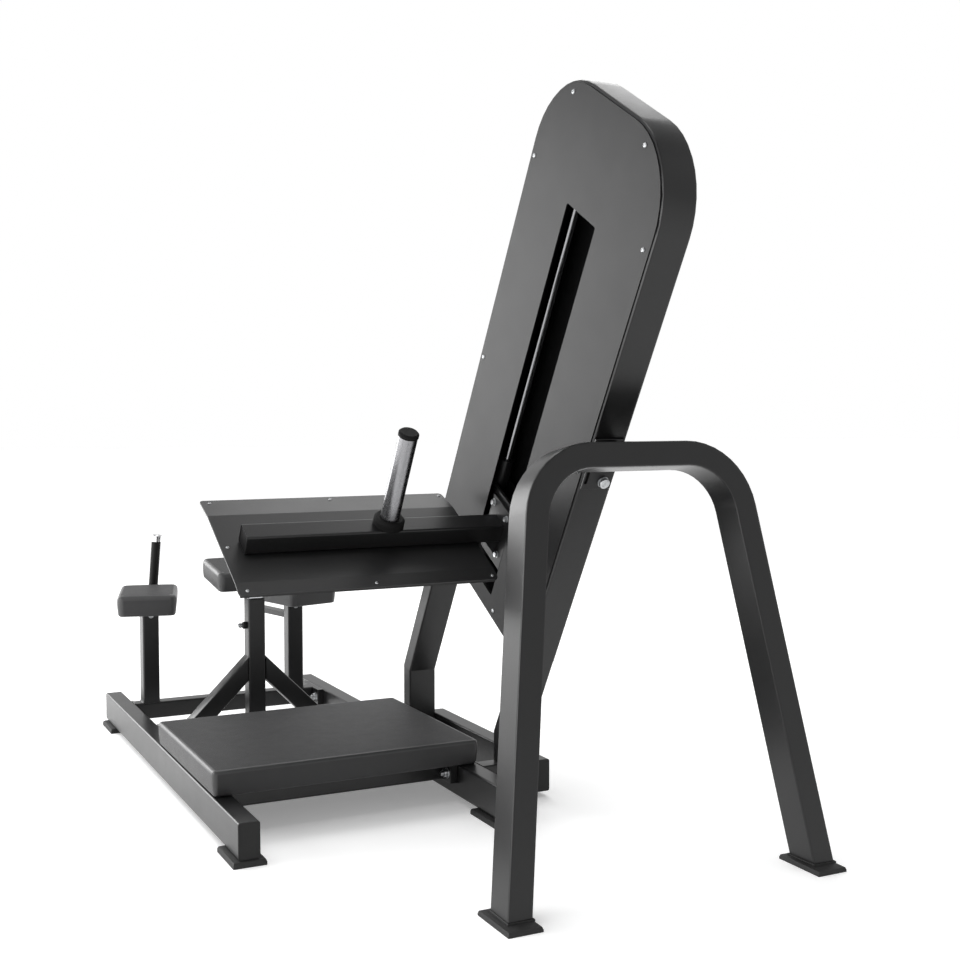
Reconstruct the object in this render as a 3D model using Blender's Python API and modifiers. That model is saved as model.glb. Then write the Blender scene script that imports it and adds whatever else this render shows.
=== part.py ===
"""A plate-loaded kneeling kick-back machine for the glutes, at its real size in metres, +Z up.

The user kneels on the knee pad facing +Y, with the elbows on two small pads and the chest on a third.
A foot pushes the foot plate up a guide that leans back by LEAN, inside an upright housing on the right.
Sizes of the base are given from the outer rear corner of the left rail, X to the right and Y to the front.
Heights are given from a level that lies DATUM_HEIGHT above the floor.
The housing and all that slides in it are given in the leaning axes of the guide: X, across (q) and along (s).
"""

import math

import bmesh
import bpy
from mathutils import Matrix, Vector

# Gap left between pieces that touch
GAP = 0.0003

# Frame tube
TUBE_WIDTH = 0.053
RAIL_HEIGHT = 0.088
TUBE_WALL = 0.003
TUBE_CORNER = 0.0055
CAP_FLANGE = 0.004
CAP_PLUG = 0.018
CAP_WALL = 0.004

# Base
DATUM_HEIGHT = 0.0035
FOOT_HEIGHT = 0.013
FOOT_WIDTH = 0.081
FOOT_LENGTH = 0.141
FOOT_BEVEL = 0.008
BASE_WIDTH = 0.729
RAIL_LENGTH = 1.566
REAR_FOOT_OVERHANG = 0.012
FRONT_FOOT_INSET = 0.006
REAR_CROSS_Y = 0.290
MIDDLE_CROSS_Y = 0.993
FRONT_CROSS_Y = 1.355
FLANGE_THICKNESS = 0.020
FLANGE_LENGTH = 0.157
FLANGE_HEIGHT = 0.052
FLANGE_BOLT_RADIUS = 0.011
FLANGE_BOLT_HEIGHT = 0.009
FLANGE_BOLT_SPACING = 0.116

# Knee pad
KNEE_PAD_INSET = 0.0005
KNEE_PAD_LENGTH = 0.594
KNEE_PAD_THICKNESS = 0.066
KNEE_PAD_Y = 0.214
KNEE_PAD_CROWN = 0.002
KNEE_PAD_CORNER = 0.009
KNEE_PAD_EDGE = 0.008

# Head end, on its own centre line a little left of the base's middle
HEAD_SHIFT = 0.013
POST_TOP = 0.469
BRACE_TOP = 0.294
BUSH_INSIDE = 0.0415
BUSH_RIM = 0.004
BUSH_LENGTH = 0.070
STEM_SIDE = 0.041
STEM_WALL = 0.0025
STEM_LENGTH = 0.260
STEM_RISE = 0.045
CHEST_TILT = math.radians(7.5)
CHEST_PAD_WIDTH = 0.279
CHEST_PAD_LENGTH = 0.204
CHEST_PAD_THICKNESS = 0.061
CHEST_PLATE_WIDTH = 0.150
CHEST_PLATE_LENGTH = 0.120
PLATE_THICKNESS = 0.005
PIN_HEIGHT = 0.389
PIN_RADIUS = 0.004
PIN_CLEARANCE = 0.0004
PIN_COLLAR_RADIUS = 0.011
PIN_COLLAR_LENGTH = 0.012
PIN_KNOB_RADIUS = 0.008
PIN_KNOB_LENGTH = 0.014
SMALL_PAD_CROWN = 0.002
SMALL_PAD_CORNER = 0.014
SMALL_PAD_EDGE = 0.010
PAD_SIDE_TUCK = 0.0015

# Elbow rests
ELBOW_POST_INSET = 0.11925
ELBOW_POST_SIDE = 0.053
ELBOW_POST_TOP = 0.396
ELBOW_PLATE_WIDTH = 0.110
ELBOW_PLATE_LENGTH = 0.150
ELBOW_PAD_WIDTH = 0.184
ELBOW_PAD_LENGTH = 0.285
ELBOW_PAD_THICKNESS = 0.0675
ELBOW_PAD_FORWARD = 0.012
ELBOW_PAD_OUTWARD = 0.0025
TOE_IN = math.radians(14.5)
HANDLE_BAR_WIDTH = 0.036
HANDLE_BAR_THICKNESS = 0.018
HANDLE_BAR_HEIGHT = 0.341
HANDLE_REACH = 0.204
HANDLE_LEAN = math.radians(4.4)
HANDLE_ROD_RADIUS = 0.011
HANDLE_HEIGHT = 0.245
HANDLE_CAP_RADIUS = 0.0185
HANDLE_CAP_HEIGHT = 0.024
GRIP_RADIUS = 0.0152
GRIP_LENGTH = 0.180

# Upright housing, in the leaning axes
LEAN = math.radians(30.0)
HOUSING_STAND_OFF = 0.055
HOUSING_NEAR_Q = 0.246
HOUSING_SPAN = 0.627
HOUSING_TOP = 1.707
HOUSING_BEND_RADIUS = 0.202
FRAME_WIDTH = 0.088
FRAME_DEPTH = 0.050
REAR_LEG_Y = 0.1875
FRONT_LEG_Y = 0.861
OUTER_RAIL_REAR_Y = 0.179
LEG_FOOT_OVERHANG = 0.012
PANEL_THICKNESS = 0.003
PANEL_MARGIN = 0.007
PANEL_BOTTOM = 0.305
SLOT_NEAR_Q = 0.487
SLOT_WIDTH = 0.1505
SLOT_BOTTOM = 0.356
SLOT_TOP = 1.427
SLOT_CORNER = 0.006
ROD_RADIUS = 0.0125
ROD_SPACING = 0.222
ROD_END_CLEARANCE = 0.0008
BUMPER_RADIUS = 0.025
BUMPER_HEIGHT = 0.060

# Carriage and what it carries, in the leaning axes at rest
BEARING_RADIUS = 0.021
BEARING_LENGTH = 0.264
CARRIAGE_PLATE_THICKNESS = 0.009
CARRIAGE_PLATE_WIDTH = 0.268
CARRIAGE_PLATE_LENGTH = 0.180
BEARING_SINK = 0.0015
BEAM_WIDTH = 0.062
BEAM_HEIGHT = 0.052
BEAM_BOTTOM = 0.501
BEAM_END_X = 0.0845
BEAM_FLANGE_THICKNESS = 0.010
BEAM_FLANGE_WIDTH = 0.122
BEAM_FLANGE_BOTTOM = 0.430
BEAM_FLANGE_TOP = 0.598
GUSSET_REACH = 0.040
GUSSET_DROP = 0.050
GUSSET_THICKNESS = 0.006
GUSSET_INSET = 0.006
FOOT_PLATE_LEFT_X = 0.033
FOOT_PLATE_RIGHT_INSET = 0.007
FOOT_PLATE_NEAR_Q = 0.422
FOOT_PLATE_FLAT = 0.285
FOOT_PLATE_FAR_STRIP = 0.088
FOOT_PLATE_NEAR_STRIP = 0.041
FOOT_PLATE_BEND = math.radians(8.0)
FOOT_PLATE_THICKNESS = 0.004
FOOT_PLATE_CORNER = 0.010
FOOT_PAD_THICKNESS = 0.010
FOOT_PAD_INSET = 0.006
SLEEVE_X = 0.466
SLEEVE_RADIUS = 0.025
SLEEVE_WALL = 0.004
SLEEVE_LENGTH = 0.267
SLEEVE_CAP_RADIUS = 0.0265
SLEEVE_CAP_HEIGHT = 0.012
SLEEVE_COLLAR_RADIUS = 0.0405
SLEEVE_COLLAR_HEIGHT = 0.024
SLEEVE_COLLAR_CHAMFER = 0.006

# Rear arch, leaning towards the housing with splayed legs
ARCH_SHIFT = 0.015
ARCH_FOOT_SPAN = 0.855
ARCH_SPLAY = 0.1435
ARCH_LEAN = math.radians(10.2)
ARCH_REAR_Y = -0.617
ARCH_HEIGHT = 0.980
ARCH_THICKNESS = 0.0585
ARCH_DEPTH = 0.087
ARCH_BEND_RADIUS = 0.180
ARCH_LEG_LOW = 0.0045
ARCH_FOOT_TOP = 0.0095
ARCH_FOOT_CLEARANCE = 0.0015
ARCH_FOOT_SHIFT = 0.005
BRACKET_PLATE_LENGTH = 0.140
BRACKET_PLATE_THICKNESS = 0.006
BRACKET_PLATE_LEFT_MARGIN = 0.0015
BRACKET_SLOT_WIDTH = 0.0085
BRACKET_SLOT_LENGTH = 0.034
BRACKET_SLOT_X = 0.0090
BRACKET_SLOT_UP = 0.0325
BRACKET_TOP_ABOVE_TUBE = 0.010
BRACKET_ARM_SIDE = 0.044
BRACKET_BOLT_RADIUS = 0.012
BRACKET_BOLT_HEIGHT = 0.010
BRACKET_BOLT_OFFSET = 0.0125
BRACKET_BOLT_UP = 0.0215

ARC_STEPS = 10
CORNER_STEPS = 3
ROUND_STEPS = 32

# Worked out from the sizes above
BASE_TOP = FOOT_HEIGHT + RAIL_HEIGHT
RIGHT_RAIL_X = BASE_WIDTH - TUBE_WIDTH
KNEE_PAD_WIDTH = BASE_WIDTH - 2 * KNEE_PAD_INSET
ELBOW_SPACING = BASE_WIDTH - 2 * ELBOW_POST_INSET
FOOT_PLATE_WIDTH = BASE_WIDTH - FOOT_PLATE_LEFT_X - FOOT_PLATE_RIGHT_INSET
HEAD_CENTRE_X = BASE_WIDTH / 2 - HEAD_SHIFT
HOUSING_CENTRE_X = BASE_WIDTH + HOUSING_STAND_OFF + FRAME_WIDTH / 2
ARCH_CENTRE_X = HOUSING_CENTRE_X - ARCH_SHIFT
HOUSING_LEFT_X = HOUSING_CENTRE_X - FRAME_WIDTH / 2
HOUSING_RIGHT_X = HOUSING_CENTRE_X + FRAME_WIDTH / 2
HOUSING_FAR_Q = HOUSING_NEAR_Q + HOUSING_SPAN
HOUSING_CENTRE_Q = HOUSING_NEAR_Q + HOUSING_SPAN / 2
CROSSBAR_TOP = PANEL_BOTTOM + FRAME_DEPTH
BEND_INSIDE = HOUSING_BEND_RADIUS - FRAME_DEPTH
ROD_IN_BEND = max(0.0, ROD_SPACING / 2 + ROD_RADIUS - (HOUSING_SPAN / 2 - HOUSING_BEND_RADIUS))
BEND_DROP = BEND_INSIDE - math.sqrt(max(0.0, BEND_INSIDE ** 2 - ROD_IN_BEND ** 2))
ROD_TOP = HOUSING_TOP - FRAME_DEPTH - BEND_DROP - ROD_END_CLEARANCE
BEARING_BOTTOM = CROSSBAR_TOP + 2 * GAP + BUMPER_HEIGHT
BEAM_CENTRE_Q = SLOT_NEAR_Q + SLOT_WIDTH / 2
BEAM_TOP = BEAM_BOTTOM + BEAM_HEIGHT
PLATE_FRONT_X = HOUSING_CENTRE_X - BEARING_RADIUS + BEARING_SINK - CARRIAGE_PLATE_THICKNESS
ELBOW_POST_Y = FRONT_CROSS_Y + ELBOW_POST_SIDE / 2
POST_CENTRE_Y = MIDDLE_CROSS_Y + TUBE_WIDTH / 2
ARCH_LEG_Y = ARCH_REAR_Y + ARCH_DEPTH / (2 * math.cos(ARCH_LEAN))

PAINT = ("black_paint", (0.022, 0.023, 0.025), 0.32, 0.0)
PANEL_PAINT = ("panel_paint", (0.026, 0.027, 0.029), 0.38, 0.0)
CHROME = ("chrome", (0.72, 0.73, 0.75), 0.12, 1.0)
ZINC = ("zinc", (0.55, 0.56, 0.57), 0.35, 1.0)
RUBBER = ("rubber", (0.018, 0.018, 0.019), 0.75, 0.0)
VINYL = ("vinyl", (0.028, 0.028, 0.030), 0.48, 0.0)
PLASTIC = ("black_plastic", (0.020, 0.020, 0.022), 0.5, 0.0)


def clear_scene():
    for old in list(bpy.data.objects):
        bpy.data.objects.remove(old, do_unlink=True)


def collection(name):
    made = bpy.data.collections.new(name)
    bpy.context.scene.collection.children.link(made)
    return made


def empty(name, parent, location, rotation=(0.0, 0.0, 0.0)):
    made = bpy.data.objects.new(name, None)
    made.empty_display_size = 0.05
    made.location = location
    made.rotation_euler = rotation
    made.parent = parent
    MACHINE.objects.link(made)
    return made


def paint(piece, look):
    """Gives the piece its own Principled material: name, colour, roughness and metallic value."""
    kind, colour, roughness, metallic = look
    material = bpy.data.materials.new(f"{piece.name}_{kind}")
    material.use_nodes = True
    shader = material.node_tree.nodes["Principled BSDF"]
    shader.inputs["Base Color"].default_value = (*colour, 1.0)
    shader.inputs["Roughness"].default_value = roughness
    shader.inputs["Metallic"].default_value = metallic
    piece.data.materials.clear()
    piece.data.materials.append(material)


def add(name, mesh, look, parent=None, location=(0.0, 0.0, 0.0), rotation=(0.0, 0.0, 0.0), smooth=None):
    """Makes the named piece from a mesh and places it under its parent."""
    piece = bpy.data.objects.new(name, mesh)
    piece.location = location
    piece.rotation_euler = rotation
    piece.parent = parent
    MACHINE.objects.link(piece)
    paint(piece, look)
    if smooth is not None:
        mesh.shade_smooth()
        mesh.set_sharp_from_angle(angle=math.radians(smooth))
    return piece


def arc(centre, radius, start, end, steps=ARC_STEPS):
    """Points along an arc in a plane, angles in radians, both ends included."""
    turn = (end - start) / steps
    return [
        (centre[0] + radius * math.cos(start + turn * i), centre[1] + radius * math.sin(start + turn * i))
        for i in range(steps + 1)
    ]


def rounded_rectangle(width, height, radius, centre=(0.0, 0.0), steps=CORNER_STEPS):
    half_w, half_h = width / 2 - radius, height / 2 - radius
    points = []
    for sign_x, sign_y, start in ((1, 1, 0.0), (-1, 1, 0.5), (-1, -1, 1.0), (1, -1, 1.5)):
        corner = (centre[0] + sign_x * half_w, centre[1] + sign_y * half_h)
        points += arc(corner, radius, start * math.pi, (start + 0.5) * math.pi, steps)
    return points


def prism_mesh(name, loops, depth):
    """A flat outline, with any holes, filled and drawn out to a depth centred on its own plane."""
    curve = bpy.data.curves.new(name, "CURVE")
    curve.dimensions = "2D"
    curve.fill_mode = "BOTH"
    curve.extrude = depth / 2
    for loop in loops:
        spline = curve.splines.new("POLY")
        spline.points.add(len(loop) - 1)
        for point, (x, y) in zip(spline.points, loop):
            point.co = (x, y, 0.0, 1.0)
        spline.use_cyclic_u = True
    holder = bpy.data.objects.new(f"{name}_outline", curve)
    bpy.context.scene.collection.objects.link(holder)
    bpy.context.view_layer.update()
    evaluated = holder.evaluated_get(bpy.context.evaluated_depsgraph_get())
    mesh = bpy.data.meshes.new_from_object(evaluated)
    bpy.data.objects.remove(holder, do_unlink=True)
    bpy.data.curves.remove(curve)
    shape = bmesh.new()
    shape.from_mesh(mesh)
    bmesh.ops.remove_doubles(shape, verts=shape.verts, dist=1e-6)
    bmesh.ops.recalc_face_normals(shape, faces=shape.faces)
    shape.to_mesh(mesh)
    shape.free()
    mesh.name = name
    return mesh


def rounded_bar_mesh(name, outline, depth, radius):
    """A solid bar drawn from an outline, with the edges along both of its sides rounded like a tube's."""
    mesh = prism_mesh(name, [outline], depth)
    shape = bmesh.new()
    shape.from_mesh(mesh)
    bmesh.ops.dissolve_limit(shape, angle_limit=math.radians(0.5), verts=[], edges=shape.edges)
    side = depth / 2 - 1e-5
    edges = [
        edge for edge in shape.edges
        if abs(edge.verts[0].co.z - edge.verts[1].co.z) < 1e-6 and abs(edge.verts[0].co.z) > side
    ]
    bmesh.ops.bevel(
        shape, geom=edges, offset=radius, offset_type="OFFSET", segments=2, profile=0.5,
        affect="EDGES", clamp_overlap=False,
    )
    shape.to_mesh(mesh)
    shape.free()
    return mesh


def bevelled_box_mesh(name, size, bevel, segments=2, top_only=False):
    """A box centred on its own origin with its edges bevelled, or only those round its top."""
    shape = bmesh.new()
    bmesh.ops.create_cube(shape, size=1.0)
    bmesh.ops.scale(shape, vec=size, verts=shape.verts)
    if bevel > 0:
        edges = [e for e in shape.edges if not top_only or all(v.co.z > 0 for v in e.verts)]
        bmesh.ops.bevel(shape, geom=edges, offset=bevel, segments=segments, profile=0.5, affect="EDGES")
    mesh = bpy.data.meshes.new(name)
    shape.to_mesh(mesh)
    shape.free()
    return mesh


def turned(name, profile, look, parent, location, rotation=(0.0, 0.0, 0.0)):
    """A piece turned about its own Z from (radius, height) points that run from top to bottom outside."""
    mesh = bpy.data.meshes.new(name)
    shape = bmesh.new()
    verts = [shape.verts.new((radius, 0.0, height)) for radius, height in profile]
    for first, second in zip(verts, verts[1:]):
        shape.edges.new((first, second))
    if profile[0][0] > 0 and profile[-1][0] > 0:
        shape.edges.new((verts[-1], verts[0]))
    shape.to_mesh(mesh)
    shape.free()
    piece = add(name, mesh, look, parent, location, rotation)
    screw = piece.modifiers.new("turn", "SCREW")
    screw.axis = "Z"
    screw.angle = 2 * math.pi
    screw.steps = ROUND_STEPS
    screw.render_steps = ROUND_STEPS
    screw.use_merge_vertices = True
    screw.merge_threshold = 1e-5
    screw.use_smooth_shade = True
    return piece


def ring_profile(outer, inner, bottom, top, chamfer=0.0):
    """A ring's closed profile: down its outer side and up its bore."""
    if chamfer > 0:
        outside = [(outer - chamfer, top), (outer, top - chamfer), (outer, bottom)]
    else:
        outside = [(outer, top), (outer, bottom)]
    return outside + [(inner, bottom), (inner, top)]


def rod_profile(radius, bottom, top, chamfer=0.0):
    """A solid rod's open profile, from its top centre to its bottom centre."""
    if chamfer > 0:
        return [(0.0, top), (radius - chamfer, top), (radius, top - chamfer),
                (radius, bottom + chamfer), (radius - chamfer, bottom), (0.0, bottom)]
    return [(0.0, top), (radius, top), (radius, bottom), (0.0, bottom)]


def cut(piece, name, operation, other):
    """Cuts or joins the other shape with the piece; the other one stays as a hidden guide."""
    for user in list(other.users_collection):
        user.objects.unlink(other)
    CUTTERS.objects.link(other)
    other.hide_render = True
    other.display_type = "WIRE"
    boolean = piece.modifiers.new(name, "BOOLEAN")
    boolean.operation = operation
    boolean.object = other
    boolean.solver = "EXACT"


def guide(name, mesh, parent=None, location=(0.0, 0.0, 0.0), rotation=(0.0, 0.0, 0.0)):
    """A shape that only cuts or joins another."""
    made = bpy.data.objects.new(name, mesh)
    made.location = location
    made.rotation_euler = rotation
    made.parent = parent
    CUTTERS.objects.link(made)
    return made


def cylinder_mesh(name, radius, length, steps=ROUND_STEPS):
    """A plain cylinder along its own Z, centred on its origin."""
    shape = bmesh.new()
    bmesh.ops.create_cone(shape, cap_ends=True, segments=steps, radius1=radius, radius2=radius, depth=length)
    mesh = bpy.data.meshes.new(name)
    shape.to_mesh(mesh)
    shape.free()
    return mesh


# Turns a prism drawn in a plane to stand where it belongs
ALONG_Y = (math.radians(-90), 0.0, 0.0)
ALONG_X = (0.0, math.radians(90), 0.0)
SIDE_VIEW = (math.radians(90), 0.0, math.radians(90))
FRONT_VIEW = (math.radians(90), 0.0, 0.0)


def tube_mesh(name, width, height, length, wall=TUBE_WALL, corner=TUBE_CORNER):
    outer = rounded_rectangle(width, height, corner)
    inner = rounded_rectangle(width - 2 * wall, height - 2 * wall, corner - wall / 2)
    return prism_mesh(name, [outer, inner], length)


def end_plate_mesh(name, width, height):
    """A plate that closes a tube, its edges halfway into the tube's wall."""
    section = rounded_rectangle(width - TUBE_WALL, height - TUBE_WALL, TUBE_CORNER - TUBE_WALL / 2)
    return prism_mesh(name, [section], TUBE_WALL)


def tube_along_y(name, width, height, start, low):
    """A box tube from start to its far end, given its lowest left rear corner and its length in start[2]."""
    x, y, length = start
    location = (x + width / 2, y + length / 2, low + height / 2)
    return add(name, tube_mesh(name, width, height, length), PAINT, MACHINE_ORIGIN, location, ALONG_Y)


def tube_along_x(name, left, right, y, low, side=TUBE_WIDTH):
    """A square tube between two X positions, its rear face at y."""
    length = right - left
    location = (left + length / 2, y + side / 2, low + side / 2)
    return add(name, tube_mesh(name, side, side, length), PAINT, MACHINE_ORIGIN, location, ALONG_X)


def end_cap(name, width, height, centre, outward):
    """A plastic cap with a plug that sits in the end of a box tube; outward is +1 or -1 along Y."""
    plug_outer = rounded_rectangle(
        width - 2 * TUBE_WALL - 2 * GAP, height - 2 * TUBE_WALL - 2 * GAP, TUBE_CORNER - TUBE_WALL / 2
    )
    plug_inner = rounded_rectangle(
        width - 2 * TUBE_WALL - 2 * CAP_WALL, height - 2 * TUBE_WALL - 2 * CAP_WALL, CAP_WALL / 2
    )
    x, y, z = centre
    face = rounded_rectangle(width, height, TUBE_CORNER)
    location = (x, y + outward * (GAP + CAP_FLANGE / 2), z)
    cap = add(name, prism_mesh(name, [face], CAP_FLANGE), PLASTIC, MACHINE_ORIGIN, location, ALONG_Y)
    overlap = CAP_FLANGE / 2
    length = CAP_PLUG + GAP + overlap
    plug = guide(
        f"{name}_plug",
        prism_mesh(f"{name}_plug", [plug_outer, plug_inner], length),
        MACHINE_ORIGIN,
        (x, y + outward * (GAP + overlap - length / 2), z),
        ALONG_Y,
    )
    cut(cap, "plug", "UNION", plug)
    return cap


def foot(name, x, y, width=FOOT_WIDTH, length=FOOT_LENGTH, top=FOOT_HEIGHT - GAP):
    """A rubber shoe from the floor up to its top, with sloped sides; x and y are its centre."""
    height = top + DATUM_HEIGHT
    mesh = bevelled_box_mesh(name, (width, length, height), FOOT_BEVEL, 2, top_only=True)
    return add(name, mesh, RUBBER, MACHINE_ORIGIN, (x, y, top - height / 2))


def bolted_flange(name, y_centre):
    """A plate on the inner face of the right rail with two bolt heads, at the end of a cross member."""
    x = RIGHT_RAIL_X - GAP - FLANGE_THICKNESS / 2
    z = BASE_TOP - TUBE_WIDTH / 2
    size = (FLANGE_THICKNESS, FLANGE_LENGTH, FLANGE_HEIGHT)
    plate = add(name, bevelled_box_mesh(name, size, 0.001, 1), PAINT, MACHINE_ORIGIN, (x, y_centre, z))
    for side in (-1, 1):
        head = guide(
            f"{name}_bolt_{'rear' if side < 0 else 'front'}",
            cylinder_mesh(f"{name}_bolt", FLANGE_BOLT_RADIUS, FLANGE_BOLT_HEIGHT, 6),
            MACHINE_ORIGIN,
            (x - FLANGE_THICKNESS / 2, y_centre + side * FLANGE_BOLT_SPACING / 2, z),
            ALONG_X,
        )
        cut(plate, f"bolt_{side}", "UNION", head)
    return plate


def build_base():
    """The rails, what joins them, their caps and the rubber feet."""
    rail_centre_z = FOOT_HEIGHT + RAIL_HEIGHT / 2
    for side, x in (("left", 0.0), ("right", RIGHT_RAIL_X)):
        tube_along_y(f"{side}_rail", TUBE_WIDTH, RAIL_HEIGHT, (x, 0.0, RAIL_LENGTH), FOOT_HEIGHT)
        centre_x = x + TUBE_WIDTH / 2
        end_cap(f"{side}_rail_rear_cap", TUBE_WIDTH, RAIL_HEIGHT, (centre_x, 0.0, rail_centre_z), -1)
        end_cap(f"{side}_rail_front_cap", TUBE_WIDTH, RAIL_HEIGHT, (centre_x, RAIL_LENGTH, rail_centre_z), 1)
        foot(f"{side}_rear_foot", centre_x, FOOT_LENGTH / 2 - REAR_FOOT_OVERHANG)
        foot(f"{side}_front_foot", centre_x, RAIL_LENGTH - FOOT_LENGTH / 2 - FRONT_FOOT_INSET)

    cross_low = BASE_TOP - TUBE_WIDTH
    left = TUBE_WIDTH + GAP
    flange_left = RIGHT_RAIL_X - FLANGE_THICKNESS - 2 * GAP
    tube_along_x("rear_cross_member", left, flange_left, REAR_CROSS_Y, cross_low)
    tube_along_x("middle_cross_member", left, RIGHT_RAIL_X - GAP, MIDDLE_CROSS_Y, cross_low)
    tube_along_x("front_cross_member", left, flange_left, FRONT_CROSS_Y, cross_low)
    bolted_flange("rear_flange", REAR_CROSS_Y + TUBE_WIDTH / 2)
    bolted_flange("front_flange", FRONT_CROSS_Y + TUBE_WIDTH / 2)


def build_outer_rail():
    """The short rail beside the housing's legs, and the tubes that tie the legs to the right rail."""
    left = HOUSING_RIGHT_X + GAP
    length = FRONT_LEG_Y - OUTER_RAIL_REAR_Y
    rail = tube_along_y("outer_rail", TUBE_WIDTH, RAIL_HEIGHT, (left, OUTER_RAIL_REAR_Y, length), FOOT_HEIGHT)
    rail_centre_z = FOOT_HEIGHT + RAIL_HEIGHT / 2
    end_plate = guide(
        "outer_rail_end_plate",
        end_plate_mesh("outer_rail_end_plate", TUBE_WIDTH, RAIL_HEIGHT),
        MACHINE_ORIGIN,
        (left + TUBE_WIDTH / 2, FRONT_LEG_Y - TUBE_WALL, rail_centre_z),
        ALONG_Y,
    )
    cut(rail, "closed_end", "UNION", end_plate)
    rail_end = (left + TUBE_WIDTH / 2, OUTER_RAIL_REAR_Y, rail_centre_z)
    end_cap("outer_rail_rear_cap", TUBE_WIDTH, RAIL_HEIGHT, rail_end, -1)
    cross_low = BASE_TOP - TUBE_WIDTH
    for place, leg_centre_y in (("rear", REAR_LEG_Y + FRAME_DEPTH / 2), ("front", FRONT_LEG_Y - FRAME_DEPTH / 2)):
        y = leg_centre_y - TUBE_WIDTH / 2
        tube_along_x(f"{place}_connector", BASE_WIDTH + GAP, HOUSING_LEFT_X - GAP, y, cross_low)


def cushion(name, size, corner, edge, crown, parent, location, rotation=(0.0, 0.0, 0.0)):
    """A padded cushion: crowned top, round top edge, sides drawn in towards the board."""
    width, length, thickness = size
    shape = bmesh.new()
    bmesh.ops.create_cube(shape, size=2.0)
    cuts = 11
    bmesh.ops.subdivide_edges(shape, edges=shape.edges, cuts=cuts, use_grid_fill=True)

    def spread(value, half, radius):
        """Puts half the grid's lines in the round edge and the others over the flat."""
        bend = 0.62
        side = math.copysign(1.0, value)
        amount = abs(value)
        if amount > bend:
            return side * (half - radius + radius * (amount - bend) / (1 - bend))
        return side * (half - radius) * amount / bend

    for vert in shape.verts:
        x = spread(vert.co.x, width / 2, corner)
        y = spread(vert.co.y, length / 2, corner)
        z = (spread(vert.co.z, thickness / 2, edge) + thickness / 2)
        core_x = max(-(width / 2 - corner), min(width / 2 - corner, x))
        core_y = max(-(length / 2 - corner), min(length / 2 - corner, y))
        out = Vector((x - core_x, y - core_y))
        reach = max(abs(out.x), abs(out.y))
        if out.length > 0:
            out = out.normalized() * reach
        top_core = thickness - edge
        inward = 0.0
        if z > top_core:
            drop = reach - (corner - edge)
            if drop > 0:
                rise = z - top_core
                ring = max(drop, rise)
                round_off = Vector((drop, rise)).normalized() * ring
                inward = drop - round_off.x
                z = top_core + round_off.y
        share = reach / corner
        low = 1 - z / thickness
        inward += PAD_SIDE_TUCK * low * low * share
        if reach > 0:
            out = out * max(0.0, (reach - inward) / reach)
        vert.co.x = core_x + out.x
        vert.co.y = core_y + out.y
        swell = (1 - (vert.co.x / (width / 2)) ** 2) * (1 - (vert.co.y / (length / 2)) ** 2)
        vert.co.z = z + crown * max(0.0, swell) * max(0.0, z / thickness) ** 3
    mesh = bpy.data.meshes.new(name)
    shape.to_mesh(mesh)
    shape.free()
    return add(name, mesh, VINYL, parent, location, rotation, smooth=50)


def build_knee_pad():
    size = (KNEE_PAD_WIDTH, KNEE_PAD_LENGTH, KNEE_PAD_THICKNESS)
    location = (BASE_WIDTH / 2, KNEE_PAD_Y + KNEE_PAD_LENGTH / 2, BASE_TOP + GAP)
    cushion("knee_pad", size, KNEE_PAD_CORNER, KNEE_PAD_EDGE, KNEE_PAD_CROWN, MACHINE_ORIGIN, location)


def brace_outline(inset, extra):
    """The brace seen from the rear, in X from the post's face and Z, mitred to post and cross member."""
    drop = BRACE_TOP - BASE_TOP - GAP
    thick = TUBE_WIDTH * math.sqrt(2)
    edge = inset * math.sqrt(2)
    top = BRACE_TOP - edge
    low = BRACE_TOP - thick + edge
    reach = drop
    inner_reach = drop - thick
    return [
        (extra, top + extra),
        (-(reach - edge) - extra, BASE_TOP + GAP - extra),
        (-(inner_reach + edge) - extra, BASE_TOP + GAP - extra),
        (extra, low + extra),
    ]


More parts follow.
